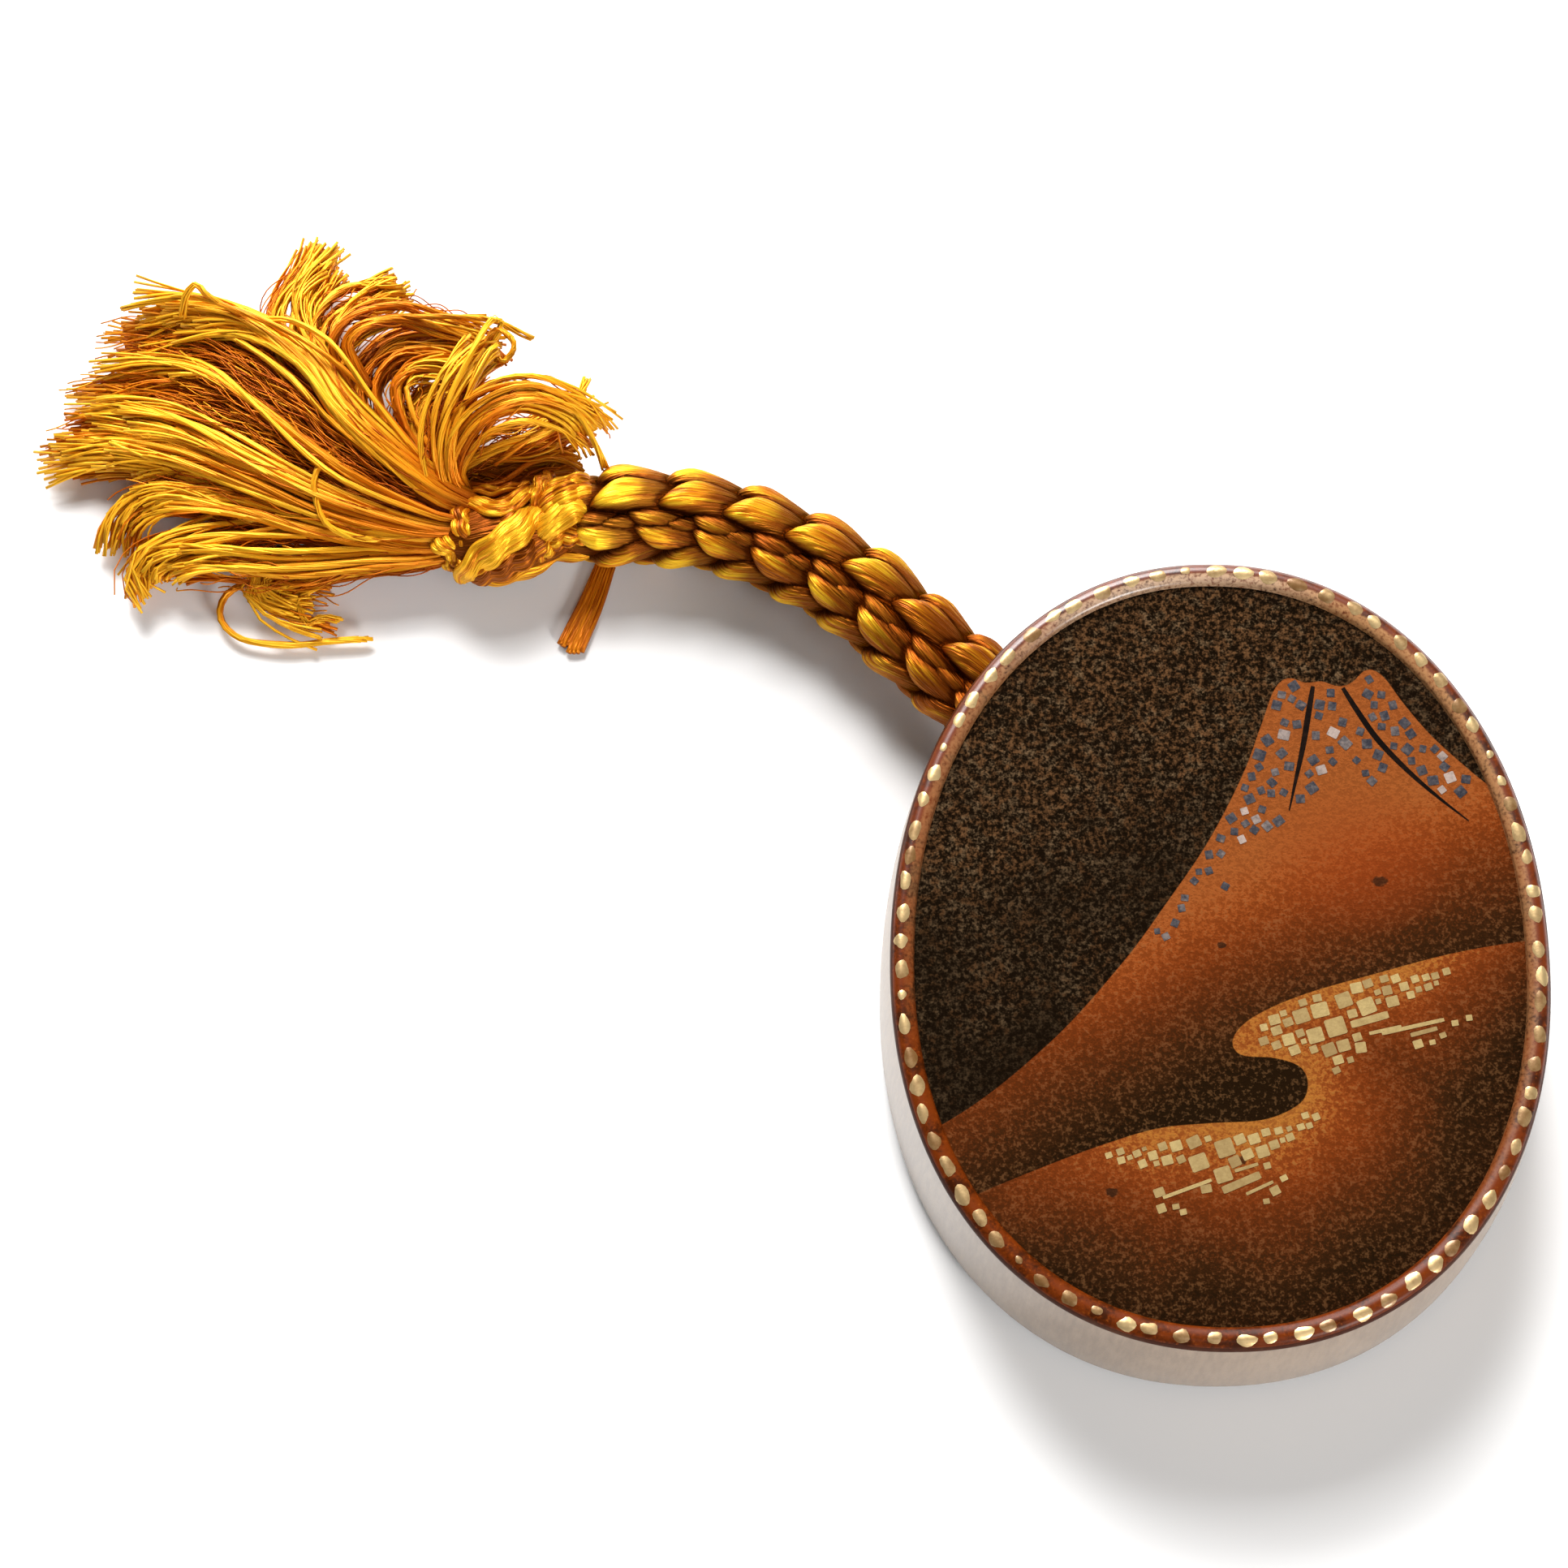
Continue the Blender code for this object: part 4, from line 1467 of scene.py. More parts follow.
@dataclass
class RimFoil:
    """Flecks of gold foil set in a row along the rim bead."""
    oval: Oval
    count: int = 77
    seed: int = 3
    inset: float = 0.8
    thickness: float = 0.07
    girth: float = 2.0      # round the bead, from the side to its inner foot
    small: float = 0.14     # the share of the flecks that are small
    finish: LeafMetal = LeafMetal("rim_foil", (0.17, 0.075, 0.018), (0.66, 0.47, 0.22), metal=0.55,
                                  roughness=0.38, speckle=1.6)

    def build(self) -> Piece:
        """Flatten a ball into a fleck, and press a copy on the bead at each step."""
        draw = random.Random(self.seed)
        set_aside()
        bpy.ops.mesh.primitive_uv_sphere_add(segments=14, ring_count=7, radius=0.5)
        fleck = bpy.context.object
        pitch = 2 * math.pi / self.count
        moulds, tones = [], []
        for angle in self.oval.even_angles(self.count, self.inset):
            shift = draw.uniform(-0.16, 0.16) * pitch
            size = (draw.uniform(0.80, 1.28), draw.uniform(0.62, 0.90))
            if draw.random() < self.small:
                size = (size[0] * 0.55, size[1] * 0.6)
            waves = [(draw.uniform(0.03, 0.09), draw.uniform(0, 6.3)) for _ in range(3)]
            moulds.append(self.mould(angle + shift, draw.uniform(0.44, 0.54), size, waves))
            tones.append(draw.random())
        foil = gather("rim_foil", fleck, moulds, tones)
        dress(foil, self.finish.material())
        settle(foil, "lacquer")
        return foil

    def mould(self, angle: float, across: float, size: Flat, waves: list[tuple[float, float]]) -> Mould:
        """How the flat ball is pressed on the bead, with an uneven edge.

        Args:
            angle: where on the oval, in radians.
            across: where on the bead, from 0 at the side to 1 at its inner foot.
            size: its length and its width.
            waves: how high and how far round each wave of its edge is.

        Returns:
            What turns a point of the ball into its place.
        """
        here = self.oval.point(angle, self.inset, 0)
        step = 0.01
        run = (self.oval.point(angle + step, self.inset, 0) - here).length / step

        def place(point: Vector) -> Vector:
            """Press one point of the ball on the bead."""
            turn = math.atan2(point.y, point.x)
            uneven = 1 + sum(a * math.sin((k + 2) * turn + b) for k, (a, b) in enumerate(waves))
            at = angle + point.x * size[0] * uneven / run
            share = across + point.y * size[1] * uneven / self.girth
            return self.surface(at, share, point.z * self.thickness)
        return place

    def surface(self, angle: float, share: float, lift: float) -> Vector:
        """The point at an angle of the oval and a share of the bead, lifted off it."""
        inset, height = self.oval.bead(share)
        next_inset, next_height = self.oval.bead(share + 0.01)
        here = self.oval.point(angle, inset, height)
        over = self.oval.point(angle, next_inset, next_height) - here
        ahead = self.oval.point(angle + 0.01, inset, height) - here
        return here + ahead.cross(over).normalized() * lift


# ---- the silk braid


@dataclass(frozen=True)
class Course:
    """One column of the braid's lobes, as it is seen with the knot at the left."""
    around: float           # degrees from the top of the braid to the lobes' leading corners
    hand: int               # 1 where the leading edges rise away from the knot, -1 where they fall
    wide: float
    length: float
    start: float            # how far along the braid the first corner is
    height: float


COURSES = (
    Course(58, 1, 3.0, 5.4, 3.80, 1.56),
    Course(11, 1, 3.0, 5.4, 0.26, 1.66),
    Course(4, -1, 1.6, 3.6, 2.06, 1.16),
    Course(-5, -1, 1.2, 3.2, 0.15, 1.06),
    Course(-15, -1, 2.3, 5.2, 1.81, 1.48),
    Course(-94, 1, 3.1, 5.4, 0.50, 1.54),
    Course(-98, -1, 3.1, 5.4, 2.10, 1.46),
    Course(-150, -1, 2.9, 5.4, 0.10, 1.46),
    Course(160, -1, 3.1, 5.4, 2.20, 1.46),
)


@dataclass
class SilkBraid:
    """The round braid of silk floss, from the bore to the knot."""
    body: LacquerBody
    diameter: float = 6.4
    inside: float = 13.2
    pitch: float = 3.96
    core: float = 1.80
    tuck: float = 2.2
    stations: int = 430
    sides: int = 190
    rake: float = 54.0
    sag: float = 9.0
    fibre_lean: float = 13.0
    round_off: float = 1.15
    soft: float = 3.2
    fall: float = 0.165
    ridge: float = 0.034
    ridge_pitch: float = 0.42
    seed: int = 21
    route: tuple[Point, ...] = (
        (-16.6, 20.0, 4.6), (-19.0, 22.4, 4.2), (-22.0, 24.8, 3.8), (-25.4, 26.6, 3.5),
        (-28.8, 27.8, 3.4), (-32.3, 28.2, 3.4), (-35.45, 28.1, 3.4))
    sight: Point = (0.0, -0.284, 0.959)
    finish: Silk = Silk("braid_silk")

    def line(self, count: int) -> list[Vector]:
        """The braid's centreline, from its hidden end in the bore to the knot."""
        hidden = [self.body.mouth + self.body.way * self.inside * share
                  for share in (1.0, 0.66, 0.33, 0.0)]
        return smooth_route([*hidden, *self.route], count)

    def length(self) -> float:
        """The length of the centreline."""
        return runs_along(self.line(200))[-1]

    def build(self) -> Piece:
        """Wrap the braid's skin round its centreline, and tuck its end into the knot."""
        centre = self.line(self.stations)
        total = self.length()
        step = total / (self.stations - 1)
        onward = (centre[-1] - centre[-2]).normalized() * step
        centre += [centre[-1] + onward * (k + 1) for k in range(round(self.tuck / step))]
        run = np.arange(len(centre)) * step
        turn = np.radians(np.arange(self.sides) * 360 / self.sides - 180)
        height, fibre, tone = self.lobes(run[:, None], turn[None, :], total)
        waist = 1 - 0.42 * (np.clip(run - total, 0, None) / self.tuck) ** 1.4
        rows = []
        for k, here in enumerate(centre):
            ahead = heading(centre, k).normalized()
            top = square_to(Vector(self.sight), ahead)
            side = ahead.cross(top)
            spokes = np.cos(turn)[:, None] * np.array(top) + np.sin(turn)[:, None] * np.array(side)
            rows.append(np.array(here) + spokes * ((self.core + height[k]) * waist[k])[:, None])
        return self.skin(np.array(rows), run / total, height, fibre, tone)

    def lobes(self, run: Rows, turn: Rows, total: float) -> tuple[Rows, Rows, Rows]:
        """How the floss stands over the braid's core.

        Args:
            run: the way along the centreline, in millimetres.
            turn: the way round it, in radians.
            total: the centreline's length.

        Returns:
            The height over the core, the place along and across the fibres, and the
            strand's tone, at each station and turn.
        """
        draw = random.Random(self.seed)
        shape = np.broadcast_shapes(run.shape, turn.shape)
        height, tone, fibre = np.zeros(shape), np.full(shape, 0.5), np.zeros((*shape, 2))
        rake, sag, lean = (math.radians(a) for a in (self.rake, self.sag, self.fibre_lean))
        for course in COURSES:
            off = (turn - math.radians(course.around) + math.pi) % (2 * math.pi) - math.pi
            up = off * (self.diameter / 2) * course.hand
            for k in range(-1, int((total + self.tuck) / self.pitch) + 3):
                own, swell = draw.random(), draw.uniform(0.95, 1.05)
                back = course.start + k * self.pitch + draw.uniform(-0.12, 0.12) - run
                edges = (back * math.sin(rake) - up * math.cos(rake),
                         up * math.cos(sag) + back * math.sin(sag),
                         course.wide - up + 0 * back, course.length - back + 0 * up)
                near = sum(np.exp(-self.soft * np.clip(e, -6, 6)) for e in edges)
                inside = -np.log(near) / self.soft
                share = np.clip((inside + 0.22) / self.round_off, 0, 1)
                across = up * math.cos(lean) - back * math.sin(lean)
                ridges = self.ridge * np.sin(across * 2 * math.pi / self.ridge_pitch + own * 6)
                crown = 1 - 0.16 * (2 * up / course.wide - 1) ** 2
                stand = (np.sqrt(1 - (1 - share) ** 2) * (course.height * swell * crown + ridges)
                         * (1 - self.fall * np.clip(back - 0.7, 0, 5)))
                wins = stand > height
                height = np.where(wins, stand, height)
                lay = np.stack([(back * math.cos(lean) + up * math.sin(lean)) / MAP_UNIT,
                                across / MAP_UNIT + own * 7], -1)
                fibre = np.where(wins[..., None], lay, fibre)
                tone = np.where(wins, own, tone)
        return height, fibre, tone

    def crease_shading(self, height: Rows) -> Rows:
        """Painted shade: how deep each place lies below what stands round it, from 0 to 1."""
        around = height
        for axis, reach in ((0, 6), (1, 5)):
            shifted = [np.roll(around, k, axis) for k in range(-reach, reach + 1)]
            around = sum(shifted) / len(shifted)
        return np.clip((around - height - 0.005) / 0.22, 0, 1)

    def skin(self, rows: Rows, share: Rows, height: Rows, fibre: Rows, tone: Rows) -> Piece:
        """Make the mesh from its rows of points, closed at both ends.

        Args:
            rows: the points, station by station.
            share: the way along, from 0 to 1, of each station.
            height, fibre, tone: what lobes gives.

        Returns:
            The braid.
        """
        stations, sides = rows.shape[:2]
        ends = np.array([rows[0].mean(0), rows[-1].mean(0)])
        first, last = stations * sides, stations * sides + 1
        faces = tube_faces(stations, sides)
        corners = fibre.reshape(-1, 2)[np.array(faces).ravel()]
        for j in range(sides):
            m = (j + 1) % sides
            faces.append((first, m, j))
            faces.append((last, (stations - 1) * sides + j, (stations - 1) * sides + m))
        braid = loose_mesh("silk_braid", np.vstack([rows.reshape(-1, 3), ends]), faces)
        add_corner_map(braid, "fibre", np.vstack([corners, np.zeros((6 * sides, 2))]))
        # Painted shade: the low, trailing part of each lobe darkens, and so do its creases
        sunk = np.clip((0.90 - height / height.max()) / 0.58, 0, 1) ** 1.2
        deep = np.clip(self.crease_shading(height) + sunk * 0.85, 0, 1)
        # Darker towards the bore, fading out near the knot
        age = np.clip(1.70 - np.broadcast_to(share[:, None], height.shape) * 1.90, 0, 1)
        add_values(braid, "fold", np.append(deep.ravel(), (1, 1)))
        add_values(braid, "tone", np.append(tone.ravel(), (0, 0)))
        add_values(braid, "age", np.append(age.ravel(), (0, 0)))
        dress(braid, self.finish.material())
        settle(braid, "braid_silk", "cord_braid")
        return braid

    def declare(self) -> None:
        """Work out the braid's length in metres, rounded; nothing is done with it."""
        round(self.length() * MM, 5)


# ---- the knot


@dataclass(frozen=True)
class Band:
    """One band of plied floss on the knot.

    It has its route in the knot's own frame, the half-width that its plies lie over, their radius, how
    many there are, and how bright they are: a painted highlight or painted shade over the whole band.
    """
    route: tuple[Point, ...]
    spread: float
    strand: float
    plies: int
    bright: float


@dataclass(frozen=True)
class Lock:
    """One lock of silk: its route, and its half-widths and half-depths on the way."""
    route: tuple[Point, ...]
    widths: Point
    depths: Point


BANDS = {
    "under": Band(((-3.0, -1.6, -0.8), (-2.3, -2.3, 0.2), (-0.7, -2.1, 0.9), (0.9, -1.6, 1.3),
                   (2.2, -0.5, 1.2)), 0.62, 0.42, 5, 0.12),
    "pad": Band(((-3.0, 1.2, -0.4), (-1.8, 1.8, 0.3), (0.0, 2.0, 0.5), (1.8, 2.2, 0.2)),
                0.45, 0.60, 3, 0.0),
    "waist": Band(((-2.3, 0.5, 0.4), (-1.7, 0.1, 1.3), (-0.6, -0.1, 1.8), (0.6, 0.5, 1.8),
                   (1.5, 1.1, 1.2)), 0.55, 0.36, 4, 0.12),
    "main": Band(((-3.3, -2.0, -0.8), (-2.7, -2.0, 0.8), (-1.4, -1.5, 1.9), (0.2, -0.8, 2.3),
                  (1.4, 0.3, 1.9), (2.0, 1.1, 0.9)), 0.62, 0.40, 6, 0.72),
    "right_low": Band(((1.4, -1.9, 0.2), (2.2, -1.3, 1.2), (3.4, -1.2, 1.5), (4.7, -1.3, 0.9)),
                      0.42, 0.38, 4, 0.3),
    "right": Band(((1.1, -1.5, 0.4), (1.7, -0.8, 1.6), (2.9, -0.4, 2.2), (3.8, 0.0, 2.2),
                   (4.7, -0.3, 1.5), (5.2, -0.7, 0.5)), 0.52, 0.38, 5, 0.78),
    "right_high": Band(((1.6, 0.1, 0.8), (2.2, 0.7, 1.7), (3.4, 1.1, 2.1), (4.6, 1.3, 1.8),
                        (5.3, 1.1, 0.8)), 0.60, 0.40, 5, 0.34),
    "right_top": Band(((2.0, 1.0, 0.6), (2.7, 1.7, 1.4), (3.8, 2.0, 1.6), (4.9, 2.0, 1.3),
                       (5.4, 1.7, 0.4)), 0.40, 0.34, 4, 0.62),
    "upper": Band(((-2.2, 2.2, 0.3), (-1.7, 1.8, 1.3), (-0.9, 1.1, 1.9), (0.1, 1.0, 2.1),
                   (1.0, 1.6, 1.8), (1.8, 2.3, 0.8)), 0.42, 0.34, 4, 0.45),
    "upper_thin": Band(((-2.4, 2.7, 0.2), (-1.6, 2.7, 0.9), (-0.6, 2.3, 1.3), (0.4, 2.3, 1.3),
                        (1.4, 2.6, 0.8)), 0.25, 0.28, 3, 0.4),
    "crossing": Band(((2.8, 3.1, 0.3), (2.5, 2.6, 1.1), (2.1, 1.9, 1.7), (1.8, 1.1, 1.8),
                      (1.5, 0.4, 1.2)), 0.25, 0.34, 3, 0.5),
    "left_lump": Band(((-2.6, 2.0, 0.4), (-2.7, 1.4, 1.3), (-2.8, 0.6, 1.6), (-2.6, -0.4, 1.4),
                       (-2.4, -1.1, 0.6)), 0.32, 0.38, 3, 0.34),
    "left_end": Band(((-4.9, 0.5, -0.4), (-4.5, 0.2, 0.7), (-4.0, -0.4, 1.1),
                      (-3.5, -0.8, 0.8), (-3.2, -1.2, 0.0)), 0.34, 0.36, 3, 0.6),
    "left_foot": Band(((-4.1, -1.2, -0.6), (-3.5, -1.1, 0.3), (-3.1, -1.5, 0.5),
                       (-2.8, -2.0, -0.2)), 0.25, 0.30, 3, 0.7),
    "sling": Band(((-4.8, 0.3, -0.6), (-3.9, -0.7, -0.8), (-2.8, -1.7, -0.9), (-0.8, -2.3, -1.0),
                   (0.7, -2.1, -0.9), (2.2, -1.6, -0.8), (3.8, -1.7, -0.8), (5.2, -1.3, -0.8)),
                  0.34, 0.34, 5, 0.55),
}


class Bundle:
    """Rounded strands of floss gathered into one piece."""

    def __init__(self) -> None:
        """Start with no strands."""
        self.points: list[Rows] = []
        self.faces: list[tuple[int, ...]] = []
        self.map: list[Flat] = []
        self.tones: list[float] = []
        self.crease_shading: list[float] = []
        self.total = 0

    def strand(self, centre: Sequence[Vector], radii: Sequence[float], outs: Sequence[Vector],
               tone: float, sides: int, ridged: float = 0.0, shade: float = 0.0) -> None:
        """Add one round strand.

        Args:
            centre: its centreline.
            radii: its radius at each point of that.
            outs: at each point, the way that its outer side faces.
            tone: its tone from 0 to 1.
            sides: how many sides its section has.
            ridged: how deep the ridges along its fibres are, as a share of its radius.
            shade: how dark even its outer side is.
        """
        count = len(centre)
        turns = [2 * math.pi * j / sides for j in range(sides)]
        for k, (here, radius) in enumerate(zip(centre, radii)):
            ahead = heading(centre, k).normalized()
            out = square_to(outs[k], ahead)
            side = ahead.cross(out)
            for j, turn in enumerate(turns):
                spoke = (out * math.cos(turn) + side * math.sin(turn)) * radius
                self.points.append(np.array(here + spoke * (1 + ridged * (-1) ** j)))
                # Painted shade: darker round to the strand's inner side, and never lighter than shade
                self.crease_shading.append(max(shade, 0.5 - 0.5 * math.cos(turn)))
        self.tones.extend([tone] * (count * sides))
        girth = 2 * math.pi * sum(radii) / count
        for low, high in pairwise(runs_along(centre)):
            near, far = low / MAP_UNIT, high / MAP_UNIT
            for j in range(sides):
                left, right = (girth * s / sides / MAP_UNIT + tone * 7 for s in (j, j + 1))
                self.map.extend([(near, left), (near, right), (far, right), (far, left)])
        self.faces.extend(tuple(self.total + i for i in face) for face in tube_faces(count, sides))
        for row, order in ((0, -1), (count - 1, 1)):
            base = self.total + row * sides
            self.faces.append(tuple(base + j for j in range(sides))[::order])
            self.map.extend([(0.0, 0.0)] * sides)
        self.total += count * sides

    def piece(self, name: str, finish: Silk, age: float) -> Piece:
        """Make the mesh, with what its finish reads.

        Args:
            name: the piece's name.
            finish: its finish.
            darkening: how much darker its colour is made, from 0 to 1.

        Returns:
            The piece.
        """
        made = loose_mesh(name, np.array(self.points), self.faces)
        add_corner_map(made, "fibre", np.array(self.map))
        add_values(made, "tone", np.array(self.tones))
        add_values(made, "fold", np.array(self.crease_shading) ** 2)
        add_values(made, "age", np.full(self.total, age))
        dress(made, finish.material())
        return made


@dataclass
class SilkKnot:
    """The knot: slanting turns of plied floss round a core, and the sling under them."""
    at: Point = (-40.5, 27.1, 3.4)
    turned: float = 10.6
    core: Flat = (4.6, 2.25)
    stations: int = 70
    seed: int = 8
    # High contrast, so that each band's painted highlight or shade shows strongly
    finish: Silk = Silk("knot_silk", light=(0.90, 0.44, 0.014), middle=(0.58, 0.145, 0.0020),
                        contrast=0.95)

    @property
    def stance(self) -> Matrix:
        """What turns the knot's own frame into its place."""
        turn = Matrix.Rotation(math.radians(self.turned), 4, "Z")
        return Matrix.Translation(self.at) @ turn

    def build(self) -> Piece:
        """Lay the core and the bands."""
        draw = random.Random(self.seed)
        bundle = Bundle()
        self.lay_core(bundle)
        for band in BANDS.values():
            self.lay_band(bundle, band, draw)
        knot = bundle.piece("silk_knot", self.finish, 0.15)
        settle(knot, "knot_silk", "cord_knot")
        return knot

    def lay_core(self, bundle: Bundle) -> None:
        """The body of floss that the bands go round, an egg that is cut flat at its ends."""
        steps = 24
        centre, radii = [], []
        for k in range(steps + 1):
            turn = math.pi * (k + 0.3) / (steps + 0.6)
            centre.append(self.stance @ Vector((-self.core[0] * math.cos(turn), 0, 0)))
            radii.append(self.core[1] * math.sin(turn))
        # Painted shade: the core is dark all over, as it lies under the bands
        bundle.strand(centre, radii, [Vector((0, 0, 1))] * len(centre), 0.2, sides=32, shade=0.70)

    def lay_band(self, bundle: Bundle, band: Band, draw: random.Random) -> None:
        """One band: plies side by side that swell in its middle and ripple a little.

        Args:
            bundle: what it is added to.
            band: the band.
            draw: the source of chance.
        """
        stance = self.stance
        line = smooth_route(band.route, self.stations)
        bend, beats = draw.uniform(0, 2 * math.pi), draw.uniform(3.0, 4.5)
        for ply in range(band.plies):
            lane = 2 * ply / (band.plies - 1) - 1
            ripple = bend + lane * 1.3 + draw.uniform(-0.4, 0.4)
            centre, outs, radii = [], [], []
            for k, here in enumerate(line):
                share = k / (len(line) - 1)
                ahead = heading(line, k).normalized()
                out = square_to(Vector((here.x * 0.12, here.y, here.z + 0.5)), ahead)
                swell = 0.45 + 0.55 * math.sin(math.pi * share) ** 0.6
                wave = 0.11 * math.sin(beats * 2 * math.pi * share + ripple)
                off = (out * (0.16 * (1 - lane * lane) + wave) * swell
                       + ahead.cross(out) * (lane * band.spread * swell + wave * 0.7))
                centre.append(stance @ (here + off))
                outs.append(stance.to_3x3() @ out)
                radii.append(band.strand * (0.55 + 0.45 * swell) * 0.78)
            # Painted light and shade: the band's brightness is its plies' tone, and dimmer bands are
            # shaded all round
            tone = min(max(band.bright + draw.uniform(-0.18, 0.18), 0.0), 1.0)
            bundle.strand(centre, radii, outs, tone, sides=20, ridged=0.02,
                          shade=0.34 * (1 - band.bright))


# ---- the tassel


LOCKS = {
    "fan_crown": Lock(
        ((-42.4, 28.3, 3.7), (-44.7, 29.2, 4.4), (-48.2, 31.7, 5.2), (-50.6, 34.0, 5.2),
         (-53.0, 37.2, 4.7), (-56.4, 39.8, 3.9), (-60.2, 41.0, 2.6), (-64.2, 41.2, 1.3)),
        (0.8, 1.25, 1.0), (1.1, 1.2, 0.5)),
    "fan_upper": Lock(
        ((-42.4, 28.0, 3.6), (-45.0, 28.5, 4.2), (-49.6, 31.0, 4.6), (-54.0, 35.0, 4.2),
         (-58.1, 38.2, 3.2), (-62.2, 39.5, 2.1), (-65.8, 39.7, 1.1)),
        (0.9, 2.1, 1.3), (1.2, 1.5, 0.5)),
    "fan_middle": Lock(
        ((-42.4, 27.7, 3.4), (-45.3, 27.8, 3.9), (-50.5, 29.9, 4.1), (-55.4, 32.8, 3.7),
         (-59.9, 35.3, 2.8), (-64.0, 36.2, 1.9), (-67.8, 35.9, 0.9)),
        (0.9, 2.2, 1.6), (1.2, 1.5, 0.5)),
    "fan_lower": Lock(
        ((-42.4, 27.3, 3.3), (-45.6, 27.1, 3.7), (-50.5, 28.2, 3.6), (-55.5, 30.3, 3.1),
         (-60.5, 32.4, 2.2), (-64.9, 33.3, 1.5), (-69.3, 33.1, 0.8)),
        (0.9, 2.1, 1.5), (1.2, 1.4, 0.45)),
    "side_curl": Lock(
        ((-42.6, 26.9, 3.1), (-45.7, 26.5, 3.2), (-51.6, 27.6, 3.1), (-56.5, 29.1, 2.7),
         (-60.3, 29.9, 2.2), (-62.6, 29.6, 1.8), (-64.0, 28.4, 1.4), (-64.6, 26.4, 0.8)),
        (0.8, 1.6, 0.6), (1.0, 1.0, 0.45)),
    "lower_bunch": Lock(
        ((-42.6, 26.7, 2.8), (-45.8, 26.2, 2.7), (-49.4, 26.3, 2.6), (-54.0, 26.2, 2.3),
         (-58.4, 26.4, 2.0), (-61.2, 25.9, 1.7), (-62.1, 24.8, 1.4), (-61.4, 23.9, 0.9)),
        (0.8, 2.2, 1.3), (1.0, 1.3, 0.5)),
    "lower_tail": Lock(
        ((-42.8, 26.6, 2.5), (-45.9, 26.0, 2.2), (-49.9, 25.9, 1.8), (-53.8, 25.3, 1.5),
         (-55.2, 24.5, 1.2), (-53.6, 23.7, 1.0), (-50.2, 23.2, 0.8)),
        (0.6, 1.3, 1.1), (0.8, 0.7, 0.4)),
    "stray_loop": Lock(
        ((-55.4, 25.2, 1.1), (-57.5, 24.3, 0.7), (-57.9, 22.7, 0.6), (-56.6, 21.4, 0.55),
         (-53.9, 21.0, 0.55), (-51.0, 21.3, 0.55), (-48.6, 21.4, 0.55)),
        (0.15, 0.20, 0.22), (0.15, 0.20, 0.2)),
    "upper_bunch": Lock(
        ((-47.2, 31.4, 3.2), (-50.6, 35.2, 3.4), (-53.2, 38.8, 3.3), (-53.7, 41.3, 3.1),
         (-52.7, 43.6, 2.6), (-51.2, 45.8, 1.8)),
        (0.9, 1.9, 0.8), (1.0, 1.1, 0.5)),
    "upper_side": Lock(
        ((-51.6, 37.2, 3.6), (-51.9, 39.6, 3.6), (-50.7, 41.3, 3.3), (-48.8, 42.3, 2.8),
         (-46.4, 43.2, 2.0)),
        (0.9, 1.1, 0.7), (0.9, 0.8, 0.45)),
    "back_arch": Lock(
        ((-49.6, 35.6, 4.2), (-50.9, 38.0, 5.0), (-49.9, 39.7, 5.4), (-47.2, 40.5, 5.3),
         (-43.9, 39.8, 4.5), (-40.4, 39.0, 3.2)),
        (0.8, 0.9, 0.4), (0.8, 0.6, 0.35)),
    "back_bowl": Lock(
        ((-43.0, 28.6, 3.3), (-45.0, 30.2, 3.6), (-47.6, 33.0, 3.7), (-48.7, 36.0, 3.8),
         (-47.2, 38.1, 3.9), (-44.5, 38.3, 3.8), (-42.0, 37.2, 3.5)),
        (0.9, 2.0, 1.3), (0.9, 1.0, 0.6)),
    "inner_bowl": Lock(
        ((-42.8, 28.7, 3.1), (-44.7, 30.4, 3.2), (-46.1, 32.6, 3.1), (-46.4, 34.6, 3.1),
         (-45.3, 36.0, 3.1), (-43.4, 36.0, 3.0)),
        (0.8, 1.4, 1.0), (0.8, 0.9, 0.6)),
    "standing_curl": Lock(
        ((-43.2, 28.7, 3.2), (-44.3, 30.0, 4.6), (-44.4, 32.2, 6.3), (-43.3, 35.2, 7.0),
         (-41.7, 37.6, 6.6), (-40.6, 37.0, 5.6)),
        (0.9, 1.5, 0.8), (0.9, 0.9, 0.5)),
    "curl_over": Lock(
        ((-43.2, 28.8, 3.2), (-43.9, 30.6, 4.8), (-42.4, 32.6, 7.2), (-39.8, 33.7, 7.8),
         (-37.3, 33.5, 6.8), (-35.9, 32.8, 5.4), (-35.3, 32.3, 4.4)),
        (0.9, 1.5, 0.6), (0.8, 0.8, 0.45)),
    "back_wisp": Lock(
        ((-42.9, 28.8, 3.0), (-44.1, 30.9, 3.4), (-41.5, 32.4, 4.2), (-39.2, 33.0, 4.6),
         (-37.6, 34.0, 4.6), (-36.5, 36.0, 4.2)),
        (0.9, 1.2, 0.4), (0.9, 0.9, 0.35)),
    "knot_veil": Lock(
        ((-42.8, 28.8, 2.8), (-43.9, 31.0, 2.8), (-41.4, 31.6, 3.2), (-38.9, 32.1, 3.4),
         (-36.6, 32.8, 3.2)),
        (0.8, 1.7, 1.3), (0.8, 1.1, 0.8)),
}
STRAY_WIDTHS = (0.10, 0.16, 0.14)
